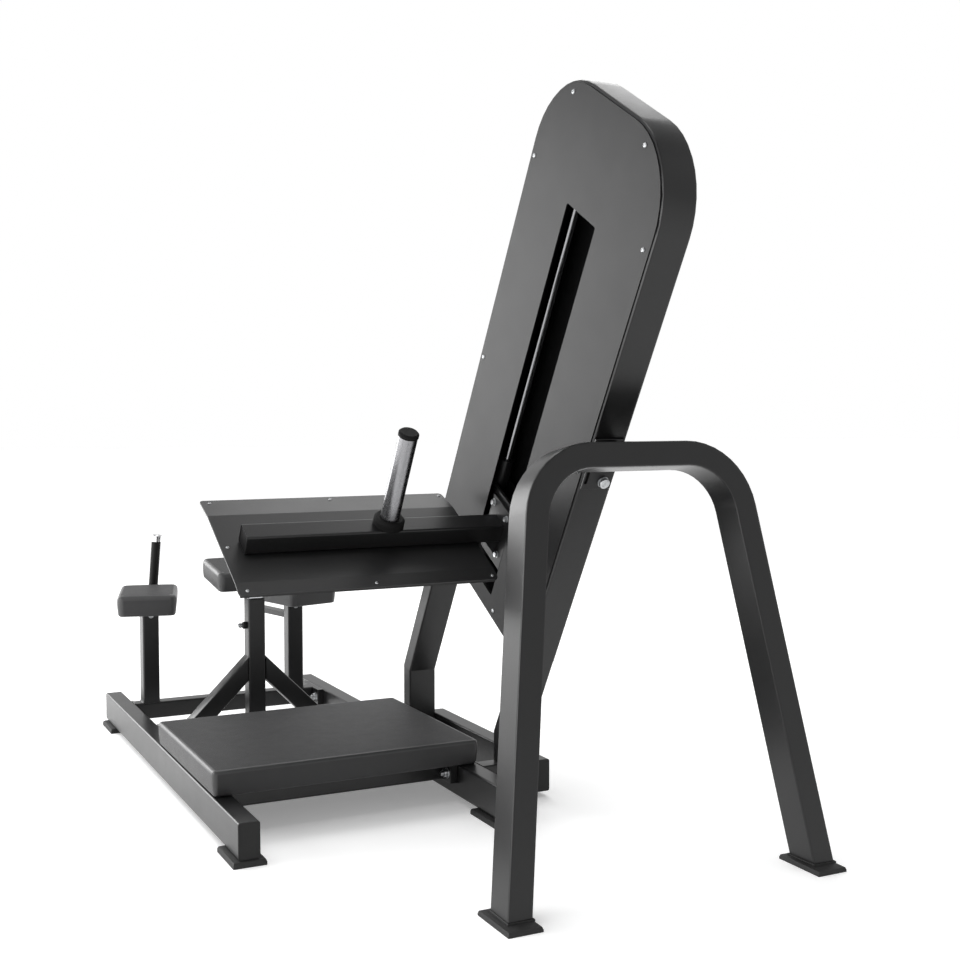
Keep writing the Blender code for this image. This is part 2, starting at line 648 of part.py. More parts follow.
def build_centre_post():
    """The chest pad's post on the middle cross member, its two braces and its plastic bush."""
    height = POST_TOP - BASE_TOP - GAP
    post = add(
        "centre_post",
        tube_mesh("centre_post", TUBE_WIDTH, TUBE_WIDTH, height),
        PAINT,
        MACHINE_ORIGIN,
        (HEAD_CENTRE_X, POST_CENTRE_Y, BASE_TOP + GAP + height / 2),
    )
    hole = guide(
        "pin_hole",
        cylinder_mesh("pin_hole", PIN_RADIUS + PIN_CLEARANCE, 4 * TUBE_WALL, 16),
        MACHINE_ORIGIN,
        (HEAD_CENTRE_X - TUBE_WIDTH / 2 + TUBE_WALL / 2, POST_CENTRE_Y, PIN_HEIGHT),
        ALONG_X,
    )
    cut(post, "pin_hole", "DIFFERENCE", hole)

    for side, sign in (("left", 1), ("right", -1)):
        face_x = HEAD_CENTRE_X - sign * (TUBE_WIDTH / 2 + GAP)
        solid = [(sign * x, z) for x, z in brace_outline(0.0, 0.0)]
        hollow = [(sign * x, z) for x, z in brace_outline(TUBE_WALL, 0.01)]
        name = f"{side}_brace"
        at = (face_x, POST_CENTRE_Y, 0.0)
        bar = rounded_bar_mesh(name, solid, TUBE_WIDTH, TUBE_CORNER)
        brace = add(name, bar, PAINT, MACHINE_ORIGIN, at, FRONT_VIEW)
        inner = guide(
            f"{name}_hollow",
            prism_mesh(f"{name}_hollow", [hollow], TUBE_WIDTH - 2 * TUBE_WALL),
            MACHINE_ORIGIN,
            at,
            FRONT_VIEW,
        )
        cut(brace, "hollow", "DIFFERENCE", inner)

    opening = BUSH_INSIDE
    bush_outer = TUBE_WIDTH - 2 * TUBE_WALL - 2 * GAP
    rim_centre = (HEAD_CENTRE_X, POST_CENTRE_Y, POST_TOP + GAP + BUSH_RIM / 2)
    rim = [rounded_rectangle(TUBE_WIDTH, TUBE_WIDTH, TUBE_CORNER), rounded_rectangle(opening, opening, 0.002)]
    bush = add("post_bush", prism_mesh("post_bush", rim, BUSH_RIM), PLASTIC, MACHINE_ORIGIN, rim_centre)
    length = BUSH_LENGTH + GAP + BUSH_RIM / 2
    skirt = [rounded_rectangle(bush_outer, bush_outer, TUBE_CORNER - TUBE_WALL / 2),
             rounded_rectangle(opening, opening, 0.002)]
    sleeve = guide(
        "post_bush_skirt",
        prism_mesh("post_bush_skirt", skirt, length),
        MACHINE_ORIGIN,
        (HEAD_CENTRE_X, POST_CENTRE_Y, POST_TOP + GAP + BUSH_RIM / 2 - length / 2),
    )
    cut(bush, "skirt", "UNION", sleeve)


def build_chest_rest():
    """The sliding stem with its tilted plate and the chest pad; they rise along Z."""
    top = POST_TOP + GAP + BUSH_RIM + STEM_RISE
    rest = empty("chest_rest", MACHINE_ORIGIN, (HEAD_CENTRE_X, POST_CENTRE_Y, top))
    stem = add(
        "chest_stem",
        tube_mesh("chest_stem", STEM_SIDE, STEM_SIDE, STEM_LENGTH, STEM_WALL, 0.003),
        CHROME,
        rest,
        (0.0, 0.0, -STEM_LENGTH / 2),
    )
    plate_size = (CHEST_PLATE_WIDTH, CHEST_PLATE_LENGTH, PLATE_THICKNESS)
    plate = guide(
        "chest_stem_plate",
        bevelled_box_mesh("chest_stem_plate", plate_size, 0.001, 1),
        rest,
        (0.0, 0.0, 0.0),
        (CHEST_TILT, 0.0, 0.0),
    )
    cut(stem, "plate", "UNION", plate)
    lift = PLATE_THICKNESS / 2 + GAP
    cushion(
        "chest_pad",
        (CHEST_PAD_WIDTH, CHEST_PAD_LENGTH, CHEST_PAD_THICKNESS),
        SMALL_PAD_CORNER,
        SMALL_PAD_EDGE,
        SMALL_PAD_CROWN,
        rest,
        (0.0, -lift * math.sin(CHEST_TILT), lift * math.cos(CHEST_TILT)),
        (CHEST_TILT, 0.0, 0.0),
    )


def build_pull_pin():
    """The threaded collar on the post's left face and the sprung pin with its knob, which pulls along -X."""
    face_x = HEAD_CENTRE_X - TUBE_WIDTH / 2
    at = (face_x - GAP, POST_CENTRE_Y, PIN_HEIGHT)
    to_left = (0.0, math.radians(-90), 0.0)
    bore = PIN_RADIUS + PIN_CLEARANCE
    collar = ring_profile(PIN_COLLAR_RADIUS, bore, 0.0, PIN_COLLAR_LENGTH, 0.002)
    turned("pin_collar", collar, PLASTIC, MACHINE_ORIGIN, at, to_left)
    pin = empty("pull_pin_axis", MACHINE_ORIGIN, at, to_left)
    knob_start = PIN_COLLAR_LENGTH + GAP
    knob_end = knob_start + PIN_KNOB_LENGTH
    middle = (knob_start + knob_end) / 2
    tip = -TUBE_WALL
    profile = [
        (0.0, knob_end),
        (PIN_KNOB_RADIUS * 0.7, knob_end - 0.001),
        (PIN_KNOB_RADIUS, middle),
        (PIN_KNOB_RADIUS * 0.75, knob_start),
        (PIN_RADIUS, knob_start),
        (PIN_RADIUS, tip),
        (0.0, tip),
    ]
    turned("pull_pin", profile, ZINC, pin, (0.0, 0.0, 0.0))


def build_elbow_rest(side, sign):
    """One elbow rest: post with its top plate, pad, and the handle in front of it. sign is +1 on the left."""
    post_x = HEAD_CENTRE_X - sign * ELBOW_SPACING / 2
    turn = (0.0, 0.0, -sign * TOE_IN)
    height = ELBOW_POST_TOP - BASE_TOP - GAP
    name = f"{side}_elbow_post"
    post = add(
        name,
        tube_mesh(name, ELBOW_POST_SIDE, ELBOW_POST_SIDE, height),
        PAINT,
        MACHINE_ORIGIN,
        (post_x, ELBOW_POST_Y, BASE_TOP + GAP + height / 2),
    )
    rest = empty(f"{side}_elbow_rest", MACHINE_ORIGIN, (post_x, ELBOW_POST_Y, 0.0), turn)
    plate_size = (ELBOW_PLATE_WIDTH, ELBOW_PLATE_LENGTH, PLATE_THICKNESS)
    plate = guide(
        f"{name}_plate",
        bevelled_box_mesh(f"{name}_plate", plate_size, 0.001, 1),
        rest,
        (-sign * ELBOW_PAD_OUTWARD, ELBOW_PAD_FORWARD, ELBOW_POST_TOP + PLATE_THICKNESS / 2 - TUBE_WALL),
    )
    cut(post, "plate", "UNION", plate)
    pad_low = ELBOW_POST_TOP + PLATE_THICKNESS - TUBE_WALL + GAP
    cushion(
        f"{side}_elbow_pad",
        (ELBOW_PAD_WIDTH, ELBOW_PAD_LENGTH, ELBOW_PAD_THICKNESS),
        SMALL_PAD_CORNER,
        SMALL_PAD_EDGE,
        SMALL_PAD_CROWN,
        rest,
        (-sign * ELBOW_PAD_OUTWARD, ELBOW_PAD_FORWARD, pad_low),
    )

    half = HANDLE_BAR_WIDTH / 2
    face = ELBOW_POST_SIDE / 2 + GAP
    slope = math.tan(-sign * TOE_IN)
    start_y = face / math.cos(TOE_IN)
    outline = [(half, start_y - half * slope)]
    outline += arc((0.0, HANDLE_REACH), half, 0.0, math.pi)
    outline += [(-half, start_y + half * slope)]
    bar_name = f"{side}_handle_bar"
    bar_centre = HANDLE_BAR_HEIGHT + HANDLE_BAR_THICKNESS / 2
    mesh = prism_mesh(bar_name, [outline], HANDLE_BAR_THICKNESS)
    add(bar_name, mesh, PAINT, rest, (0.0, 0.0, bar_centre))

    bar_top = HANDLE_BAR_HEIGHT + HANDLE_BAR_THICKNESS
    tilt = sign * HANDLE_LEAN
    stand_off = GAP + HANDLE_ROD_RADIUS * math.sin(HANDLE_LEAN)
    handle = empty(f"{side}_handle", rest, (0.0, HANDLE_REACH, bar_top + stand_off), (0.0, tilt, 0.0))
    rod_top = HANDLE_HEIGHT
    rod = [
        (0.0, rod_top + HANDLE_CAP_HEIGHT),
        (HANDLE_CAP_RADIUS * 0.88, rod_top + HANDLE_CAP_HEIGHT),
        (HANDLE_CAP_RADIUS, rod_top + HANDLE_CAP_HEIGHT * 0.86),
        (HANDLE_CAP_RADIUS * 0.84, rod_top),
        (HANDLE_ROD_RADIUS, rod_top),
        (HANDLE_ROD_RADIUS, 0.0),
        (0.0, 0.0),
    ]
    turned(f"{side}_handle_rod", rod, CHROME, handle, (0.0, 0.0, 0.0))
    bottom = rod_top - GAP - GRIP_LENGTH
    grip = ring_profile(GRIP_RADIUS, HANDLE_ROD_RADIUS + GAP, bottom, rod_top - GAP)
    turned(f"{side}_handle_grip", grip, RUBBER, handle, (0.0, 0.0, 0.0))


def leaning_point(q, s):
    """Y and Z of a point given across and along the leaning guide."""
    return (
        -math.sin(LEAN) * s + math.cos(LEAN) * q,
        math.cos(LEAN) * s + math.sin(LEAN) * q,
    )


def housing_outline(inset, extra):
    """The housing's bent tube seen from its side, in Y and Z. inset thins it, extra runs past its ends."""
    near = HOUSING_NEAR_Q + inset
    far = HOUSING_FAR_Q - inset
    top = HOUSING_TOP - inset
    radius = HOUSING_BEND_RADIUS - inset
    depth = FRAME_DEPTH - 2 * inset
    low = FOOT_HEIGHT + GAP - extra
    rear_y = REAR_LEG_Y + inset
    front_y = FRONT_LEG_Y - inset

    def height_on(q, y):
        """Where the leaning line at q meets a vertical line at y."""
        return (q - math.cos(LEAN) * y) / math.sin(LEAN)

    rear_centre = (near + radius, top - radius)
    front_centre = (far - radius, top - radius)
    outside = [(rear_y, low), (rear_y, height_on(near, rear_y))]
    outside += [leaning_point(*p) for p in arc(rear_centre, radius, math.pi, math.pi / 2)]
    outside += [leaning_point(*p) for p in arc(front_centre, radius, math.pi / 2, 0.0)]
    outside += [(front_y, height_on(far, front_y)), (front_y, low)]
    inner_rear = rear_y + depth
    inner_front = front_y - depth
    inside = [(inner_front, low), (inner_front, height_on(far - depth, inner_front))]
    inside += [leaning_point(*p) for p in arc(front_centre, radius - depth, 0.0, math.pi / 2)]
    inside += [leaning_point(*p) for p in arc(rear_centre, radius - depth, math.pi / 2, math.pi)]
    inside += [(inner_rear, height_on(near + depth, inner_rear)), (inner_rear, low)]
    return outside + inside


def panel_outline():
    """The cover panel in q and s: square bottom, rounded top corners that follow the frame."""
    near = HOUSING_NEAR_Q + PANEL_MARGIN
    far = HOUSING_FAR_Q - PANEL_MARGIN
    top = HOUSING_TOP - PANEL_MARGIN
    radius = HOUSING_BEND_RADIUS - PANEL_MARGIN
    outline = [(near, PANEL_BOTTOM)]
    outline += arc((near + radius, top - radius), radius, math.pi, math.pi / 2)
    outline += arc((far - radius, top - radius), radius, math.pi / 2, 0.0)
    outline += [(far, PANEL_BOTTOM)]
    return outline


def build_housing():
    """The bent frame, cover panels, lower crossbar, guide rods and rubber bumpers."""
    frame = add(
        "housing_frame",
        rounded_bar_mesh("housing_frame", housing_outline(0.0, 0.0), FRAME_WIDTH, TUBE_CORNER),
        PAINT,
        MACHINE_ORIGIN,
        (HOUSING_CENTRE_X, 0.0, 0.0),
        SIDE_VIEW,
    )
    hollow = guide(
        "housing_frame_hollow",
        prism_mesh("housing_frame_hollow", [housing_outline(TUBE_WALL, 0.02)], FRAME_WIDTH - 2 * TUBE_WALL),
        MACHINE_ORIGIN,
        (HOUSING_CENTRE_X, 0.0, 0.0),
        SIDE_VIEW,
    )
    cut(frame, "hollow", "DIFFERENCE", hollow)

    slot_size = (SLOT_WIDTH, SLOT_TOP - SLOT_BOTTOM)
    slot_centre = (SLOT_NEAR_Q + SLOT_WIDTH / 2, (SLOT_TOP + SLOT_BOTTOM) / 2)
    slot = rounded_rectangle(*slot_size, SLOT_CORNER, slot_centre)
    away = GAP + PANEL_THICKNESS / 2
    for name, loops, x in (
        ("left_panel", [panel_outline(), slot], HOUSING_LEFT_X - away),
        ("right_panel", [panel_outline()], HOUSING_RIGHT_X + away),
    ):
        add(name, prism_mesh(name, loops, PANEL_THICKNESS), PANEL_PAINT, GUIDE, (x, 0.0, 0.0), SIDE_VIEW)

    inner_near = HOUSING_NEAR_Q + FRAME_DEPTH + GAP
    inner_far = HOUSING_FAR_Q - FRAME_DEPTH - GAP
    crossbar_length = inner_far - inner_near
    add(
        "housing_crossbar",
        tube_mesh("housing_crossbar", FRAME_WIDTH, FRAME_DEPTH, crossbar_length),
        PAINT,
        GUIDE,
        (HOUSING_CENTRE_X, (inner_near + inner_far) / 2, PANEL_BOTTOM + FRAME_DEPTH / 2),
        ALONG_Y,
    )

    for place, sign in (("rear", -1), ("front", 1)):
        at = (HOUSING_CENTRE_X, HOUSING_CENTRE_Q + sign * ROD_SPACING / 2, 0.0)
        rod = rod_profile(ROD_RADIUS, CROSSBAR_TOP + GAP, ROD_TOP - GAP)
        turned(f"{place}_guide_rod", rod, CHROME, GUIDE, at)
        bumper_low = CROSSBAR_TOP + GAP
        ring = ring_profile(BUMPER_RADIUS, ROD_RADIUS + GAP, bumper_low, bumper_low + BUMPER_HEIGHT, 0.004)
        turned(f"{place}_bumper", ring, RUBBER, GUIDE, at)


def build_carriage():
    """The sliding block on the rods, and the flange, beam, foot plate and weight sleeve it carries."""
    bearing_middle = BEARING_BOTTOM + BEARING_LENGTH / 2
    plate_low = BEAM_FLANGE_BOTTOM - GAP
    plate_middle = plate_low + CARRIAGE_PLATE_LENGTH / 2 + GAP
    plate_size = (CARRIAGE_PLATE_THICKNESS, CARRIAGE_PLATE_WIDTH, CARRIAGE_PLATE_LENGTH)
    plate_x = PLATE_FRONT_X + CARRIAGE_PLATE_THICKNESS / 2
    back_x = 2 * HOUSING_CENTRE_X - plate_x
    block = add(
        "carriage",
        bevelled_box_mesh("carriage", plate_size, 0.001, 1),
        PAINT,
        SLIDER,
        (plate_x, HOUSING_CENTRE_Q, plate_middle),
    )
    back = guide(
        "carriage_back_plate",
        bevelled_box_mesh("carriage_back_plate", plate_size, 0.001, 1),
        SLIDER,
        (back_x, HOUSING_CENTRE_Q, plate_middle),
    )
    for place, sign in (("rear", -1), ("front", 1)):
        at = (HOUSING_CENTRE_X, HOUSING_CENTRE_Q + sign * ROD_SPACING / 2, bearing_middle)
        body = guide(
            f"carriage_{place}_bearing",
            cylinder_mesh(f"carriage_{place}_bearing", BEARING_RADIUS, BEARING_LENGTH),
            SLIDER,
            at,
        )
        cut(block, f"{place}_bearing", "UNION", body)
    cut(block, "back_plate", "UNION", back)
    for place, sign in (("rear", -1), ("front", 1)):
        at = (HOUSING_CENTRE_X, HOUSING_CENTRE_Q + sign * ROD_SPACING / 2, bearing_middle)
        bore = guide(
            f"carriage_{place}_bore",
            cylinder_mesh(f"carriage_{place}_bore", ROD_RADIUS + GAP, BEARING_LENGTH + 0.02),
            SLIDER,
            at,
        )
        cut(block, f"{place}_bore", "DIFFERENCE", bore)

    flange_x = PLATE_FRONT_X - GAP - BEAM_FLANGE_THICKNESS / 2
    flange_height = BEAM_FLANGE_TOP - BEAM_FLANGE_BOTTOM
    flange = add(
        "beam_flange",
        bevelled_box_mesh("beam_flange", (BEAM_FLANGE_THICKNESS, BEAM_FLANGE_WIDTH, flange_height), 0.001, 1),
        PAINT,
        SLIDER,
        (flange_x, BEAM_CENTRE_Q, BEAM_FLANGE_BOTTOM + flange_height / 2),
    )
    flange_face = flange_x - BEAM_FLANGE_THICKNESS / 2
    low = BEAM_BOTTOM - GAP
    gusset = [
        (flange_face + 0.002, low),
        (flange_face - GUSSET_REACH, low),
        (flange_face, low - GUSSET_DROP),
        (flange_face + 0.002, low - GUSSET_DROP),
    ]
    for place, sign in (("rear", -1), ("front", 1)):
        q = BEAM_CENTRE_Q + sign * (BEAM_WIDTH / 2 - GUSSET_INSET - GUSSET_THICKNESS / 2)
        web = guide(
            f"beam_flange_{place}_gusset",
            prism_mesh(f"beam_flange_{place}_gusset", [gusset], GUSSET_THICKNESS),
            SLIDER,
            (0.0, q, 0.0),
            FRONT_VIEW,
        )
        cut(flange, f"{place}_gusset", "UNION", web)

    build_beam(flange_face - GAP)
    build_foot_plate()
    build_weight_sleeve()


def build_beam(right_x):
    """The box beam from the carriage's flange to its closed left end."""
    length = right_x - BEAM_END_X
    centre = (BEAM_END_X + length / 2, BEAM_CENTRE_Q, BEAM_BOTTOM + BEAM_HEIGHT / 2)
    beam = add("beam", tube_mesh("beam", BEAM_HEIGHT, BEAM_WIDTH, length), PAINT, SLIDER, centre, ALONG_X)
    end = guide(
        "beam_end_plate",
        end_plate_mesh("beam_end_plate", BEAM_HEIGHT, BEAM_WIDTH),
        SLIDER,
        (BEAM_END_X + TUBE_WALL, BEAM_CENTRE_Q, BEAM_BOTTOM + BEAM_HEIGHT / 2),
        ALONG_X,
    )
    cut(beam, "closed_end", "UNION", end)


def folded_outline(top, thickness, trim):
    """A folded sheet seen along X: a flat middle and a strip bent down along each long edge, in q and s."""
    near = FOOT_PLATE_NEAR_Q
    far = near + FOOT_PLATE_FLAT
    bend_q, bend_s = math.cos(FOOT_PLATE_BEND), math.sin(FOOT_PLATE_BEND)
    near_strip = FOOT_PLATE_NEAR_STRIP - trim
    far_strip = FOOT_PLATE_FAR_STRIP - trim
    upper = [
        (near - near_strip * bend_q, top - near_strip * bend_s),
        (near, top),
        (far, top),
        (far + far_strip * bend_q, top - far_strip * bend_s),
    ]
    lower = [(q, s - thickness) for q, s in reversed(upper)]
    return upper + lower


def rounded_corners(mesh, radius):
    """Rounds the four upright corner edges of a folded sheet that lies along its own Z."""
    shape = bmesh.new()
    shape.from_mesh(mesh)
    ends = max(v.co.z for v in shape.verts) - 1e-5
    lowest = min(v.co.x for v in shape.verts) + 1e-5
    highest = max(v.co.x for v in shape.verts) - 1e-5
    corners = [
        edge for edge in shape.edges
        if all(abs(v.co.z) > ends for v in edge.verts)
        and abs(edge.verts[0].co.z - edge.verts[1].co.z) < 1e-5
        and (all(v.co.x < lowest for v in edge.verts) or all(v.co.x > highest for v in edge.verts))
    ]
    bmesh.ops.bevel(shape, geom=corners, offset=radius, segments=4, profile=0.5, affect="EDGES")
    shape.to_mesh(mesh)
    shape.free()


def build_foot_plate():
    """The folded sheet under the beam and the rubber pad that the sole of the foot pushes on."""
    centre_x = FOOT_PLATE_LEFT_X + FOOT_PLATE_WIDTH / 2
    top = BEAM_BOTTOM - GAP
    sheet = prism_mesh("foot_plate", [folded_outline(top, FOOT_PLATE_THICKNESS, 0.0)], FOOT_PLATE_WIDTH)
    rounded_corners(sheet, FOOT_PLATE_CORNER)
    add("foot_plate", sheet, PAINT, SLIDER, (centre_x, 0.0, 0.0), SIDE_VIEW)
    pad_top = top - FOOT_PLATE_THICKNESS - GAP
    pad_width = FOOT_PLATE_WIDTH - 2 * FOOT_PAD_INSET
    pad = prism_mesh("foot_pad", [folded_outline(pad_top, FOOT_PAD_THICKNESS, FOOT_PAD_INSET)], pad_width)
    add("foot_pad", pad, RUBBER, SLIDER, (centre_x, 0.0, 0.0), SIDE_VIEW)


def build_weight_sleeve():
    """The plated sleeve for weight plates, its collar on the beam and its end cap."""
    low = BEAM_TOP + GAP
    high = low + SLEEVE_LENGTH
    at = (SLEEVE_X, BEAM_CENTRE_Q, 0.0)
    sleeve = ring_profile(SLEEVE_RADIUS, SLEEVE_RADIUS - SLEEVE_WALL, low, high)
    turned("weight_sleeve", sleeve, CHROME, SLIDER, at)
    collar = ring_profile(
        SLEEVE_COLLAR_RADIUS, SLEEVE_RADIUS + GAP, low, low + SLEEVE_COLLAR_HEIGHT, SLEEVE_COLLAR_CHAMFER
    )
    turned("sleeve_collar", collar, PLASTIC, SLIDER, at)
    cap_low = high + GAP
    plug_radius = SLEEVE_RADIUS - SLEEVE_WALL - GAP
    cap_top = cap_low + SLEEVE_CAP_HEIGHT
    cap = [
        (0.0, cap_top),
        (SLEEVE_CAP_RADIUS - 0.004, cap_top),
        (SLEEVE_CAP_RADIUS, cap_top - 0.004),
        (SLEEVE_CAP_RADIUS, cap_low),
        (plug_radius, cap_low),
        (plug_radius, cap_low - CAP_PLUG),
        (0.0, cap_low - CAP_PLUG),
    ]
    turned("sleeve_cap", cap, PLASTIC, SLIDER, at)


def arch_outline(inset, extra):
    """The rear arch in its own plane, X from its centre line and height along the lean."""
    slope = ARCH_SPLAY
    across = math.sqrt(1 + slope * slope)
    half = ARCH_FOOT_SPAN / 2
    top = ARCH_HEIGHT / math.cos(ARCH_LEAN) - inset
    radius = ARCH_BEND_RADIUS - inset
    thick = ARCH_THICKNESS - 2 * inset
    low = ARCH_LEG_LOW / math.cos(ARCH_LEAN) - extra
    lean = math.atan(slope)
    outer_at_floor = half - inset * across
    centre_x = outer_at_floor - slope * (top - radius) - radius * across
    right_centre = (centre_x, top - radius)

    def leg(offset, height):
        """X of the leg's line, an offset inwards from its outer line."""
        return outer_at_floor - offset * across - slope * height

    inner_low = leg(thick, low)
    right_outer = [(leg(0.0, low), low)] + arc(right_centre, radius, lean, math.pi / 2)
    right_inner = arc(right_centre, radius - thick, math.pi / 2, lean) + [(inner_low, low)]
    left_outer = [(-x, z) for x, z in reversed(right_outer)]
    left_inner = [(-x, z) for x, z in reversed(right_inner)]
    return right_outer + left_outer + left_inner + right_inner


def build_arch():
    """The splayed arch behind the housing, a rubber foot under each leg, and the bracket."""
    stand = empty(
        "arch_plane", MACHINE_ORIGIN, (ARCH_CENTRE_X, ARCH_LEG_Y, 0.0), (math.radians(90) - ARCH_LEAN, 0.0, 0.0)
    )
    bar = rounded_bar_mesh("rear_arch", arch_outline(0.0, 0.0), ARCH_DEPTH, TUBE_CORNER)
    arch = add("rear_arch", bar, PAINT, stand)
    level = guide(
        "arch_floor",
        bevelled_box_mesh("arch_floor", (2 * ARCH_FOOT_SPAN, 4 * ARCH_DEPTH, 0.1), 0.0),
        MACHINE_ORIGIN,
        (ARCH_CENTRE_X, ARCH_LEG_Y, ARCH_LEG_LOW - 0.05),
    )
    hollow = guide(
        "arch_hollow",
        prism_mesh("arch_hollow", [arch_outline(TUBE_WALL, 0.06)], ARCH_DEPTH - 2 * TUBE_WALL),
        stand,
    )
    cut(arch, "hollow", "DIFFERENCE", hollow)
    cut(arch, "level_feet", "DIFFERENCE", level)
    across = math.sqrt(1 + ARCH_SPLAY ** 2)
    leg_width = ARCH_THICKNESS * across
    leg_x = ARCH_FOOT_SPAN / 2 - leg_width / 2
    for side, sign in (("left", -1), ("right", 1)):
        x = ARCH_CENTRE_X + sign * leg_x
        shoe = foot(f"arch_{side}_foot", x - ARCH_FOOT_SHIFT, ARCH_LEG_Y - ARCH_FOOT_SHIFT, top=ARCH_FOOT_TOP)
        pocket_size = (
            leg_width + 2 * ARCH_FOOT_CLEARANCE,
            ARCH_DEPTH / math.cos(ARCH_LEAN) + 2 * ARCH_FOOT_CLEARANCE,
            2 * (ARCH_FOOT_TOP - ARCH_LEG_LOW + GAP),
        )
        middle = (ARCH_FOOT_TOP + ARCH_LEG_LOW) / 2
        at = (x - sign * ARCH_SPLAY * middle, ARCH_LEG_Y + math.tan(ARCH_LEAN) * middle, ARCH_FOOT_TOP)
        pocket_name = f"arch_{side}_foot_pocket"
        pocket = guide(pocket_name, bevelled_box_mesh(pocket_name, pocket_size, 0.0), MACHINE_ORIGIN, at)
        cut(shoe, "pocket", "DIFFERENCE", pocket)
    build_bracket()


def build_bracket():
    """A plate on the rear leg's outer face, with its bolt, and an arm to the back of the arch's top tube."""
    face_q = HOUSING_NEAR_Q - GAP
    middle_z = ARCH_HEIGHT - ARCH_THICKNESS / 2
    plate_top_s = (ARCH_HEIGHT + BRACKET_TOP_ABOVE_TUBE - math.sin(LEAN) * face_q) / math.cos(LEAN)
    plate_middle_s = plate_top_s - BRACKET_PLATE_LENGTH / 2
    plate_left = HOUSING_LEFT_X + BRACKET_PLATE_LEFT_MARGIN
    plate_right = HOUSING_RIGHT_X - TUBE_CORNER
    plate_q = face_q - BRACKET_PLATE_THICKNESS / 2
    size = (plate_right - plate_left, BRACKET_PLATE_THICKNESS, BRACKET_PLATE_LENGTH)
    plate = add(
        "arch_bracket",
        bevelled_box_mesh("arch_bracket", size, 0.001, 1),
        PAINT,
        GUIDE,
        ((plate_left + plate_right) / 2, plate_q, plate_middle_s),
    )
    slot_size = (BRACKET_SLOT_WIDTH, 3 * BRACKET_PLATE_THICKNESS, BRACKET_SLOT_LENGTH)
    slot_s = plate_middle_s - BRACKET_PLATE_LENGTH / 2 + BRACKET_SLOT_UP
    slot = guide(
        "arch_bracket_slot",
        bevelled_box_mesh("arch_bracket_slot", slot_size, BRACKET_SLOT_WIDTH * 0.4, 2),
        GUIDE,
        (HOUSING_LEFT_X + BRACKET_SLOT_X, plate_q, slot_s),
    )
    cut(plate, "slot", "DIFFERENCE", slot)
    head = guide(
        "arch_bracket_bolt",
        cylinder_mesh("arch_bracket_bolt", BRACKET_BOLT_RADIUS, BRACKET_BOLT_HEIGHT + 0.002, 6),
        GUIDE,
        (
            HOUSING_CENTRE_X + BRACKET_BOLT_OFFSET,
            face_q - BRACKET_PLATE_THICKNESS - BRACKET_BOLT_HEIGHT / 2 + 0.001,
            plate_middle_s - BRACKET_PLATE_LENGTH / 2 + BRACKET_BOLT_UP,
        ),
        FRONT_VIEW,
    )
    cut(plate, "bolt", "UNION", head)

    along = math.tan(ARCH_LEAN)
    arch_back = ARCH_REAR_Y + ARCH_DEPTH / math.cos(ARCH_LEAN)

    def arch_face(z):
        return arch_back + along * z + GAP

    def plate_face(z):
        return (face_q - BRACKET_PLATE_THICKNESS / 2 - math.sin(LEAN) * z) / math.cos(LEAN)

    half = BRACKET_ARM_SIDE / 2
    outline = [
        (arch_face(middle_z - half), middle_z - half),
        (plate_face(middle_z - half), middle_z - half),
        (plate_face(middle_z + half), middle_z + half),
        (arch_face(middle_z + half), middle_z + half),
    ]
    arm = guide(
        "arch_bracket_arm",
        prism_mesh("arch_bracket_arm", [outline], BRACKET_ARM_SIDE),
        MACHINE_ORIGIN,
        (HOUSING_CENTRE_X, 0.0, 0.0),
        SIDE_VIEW,
    )
    cut(plate, "arm", "UNION", arm)


def build_leg_feet():
    """A rubber foot under each leg of the housing."""
    width = FRAME_WIDTH - 2 * GAP
    length = FRAME_DEPTH + 2 * LEG_FOOT_OVERHANG
    foot("housing_rear_foot", HOUSING_CENTRE_X, REAR_LEG_Y + FRAME_DEPTH / 2, width, length)
    foot("housing_front_foot", HOUSING_CENTRE_X, FRONT_LEG_Y - FRAME_DEPTH / 2, width, length)


def footprint_centre():
    """The middle of the machine's overall length and width, which is the model's origin."""
    across = math.sqrt(1 + ARCH_SPLAY ** 2)
    left = TUBE_WIDTH / 2 - FOOT_WIDTH / 2
    right = ARCH_CENTRE_X + ARCH_FOOT_SPAN / 2 - ARCH_THICKNESS * across / 2 - ARCH_FOOT_SHIFT + FOOT_WIDTH / 2
    rear = ARCH_LEG_Y - ARCH_FOOT_SHIFT - FOOT_LENGTH / 2
    front = ELBOW_POST_Y + HANDLE_REACH * math.cos(TOE_IN) + HANDLE_BAR_WIDTH / 2
    return (left + right) / 2, (rear + front) / 2


clear_scene()
MACHINE = collection("glute_machine")
CUTTERS = collection("cutters")
CENTRE_X, CENTRE_Y = footprint_centre()
MACHINE_ORIGIN = empty("machine_origin", None, (-CENTRE_X, -CENTRE_Y, DATUM_HEIGHT))
GUIDE = empty("guide_axes", MACHINE_ORIGIN, (0.0, 0.0, 0.0), (LEAN, 0.0, 0.0))
SLIDER = empty("carriage_slide", GUIDE, (0.0, 0.0, 0.0))

build_base()
build_outer_rail()
build_knee_pad()
build_centre_post()
build_chest_rest()
build_pull_pin()
build_elbow_rest("left", 1)
build_elbow_rest("right", -1)
build_housing()
build_leg_feet()
build_carriage()
build_arch()
bpy.context.view_layer.update()
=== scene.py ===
import math

import bmesh
import bpy
from mathutils import Euler, Matrix, Vector, noise

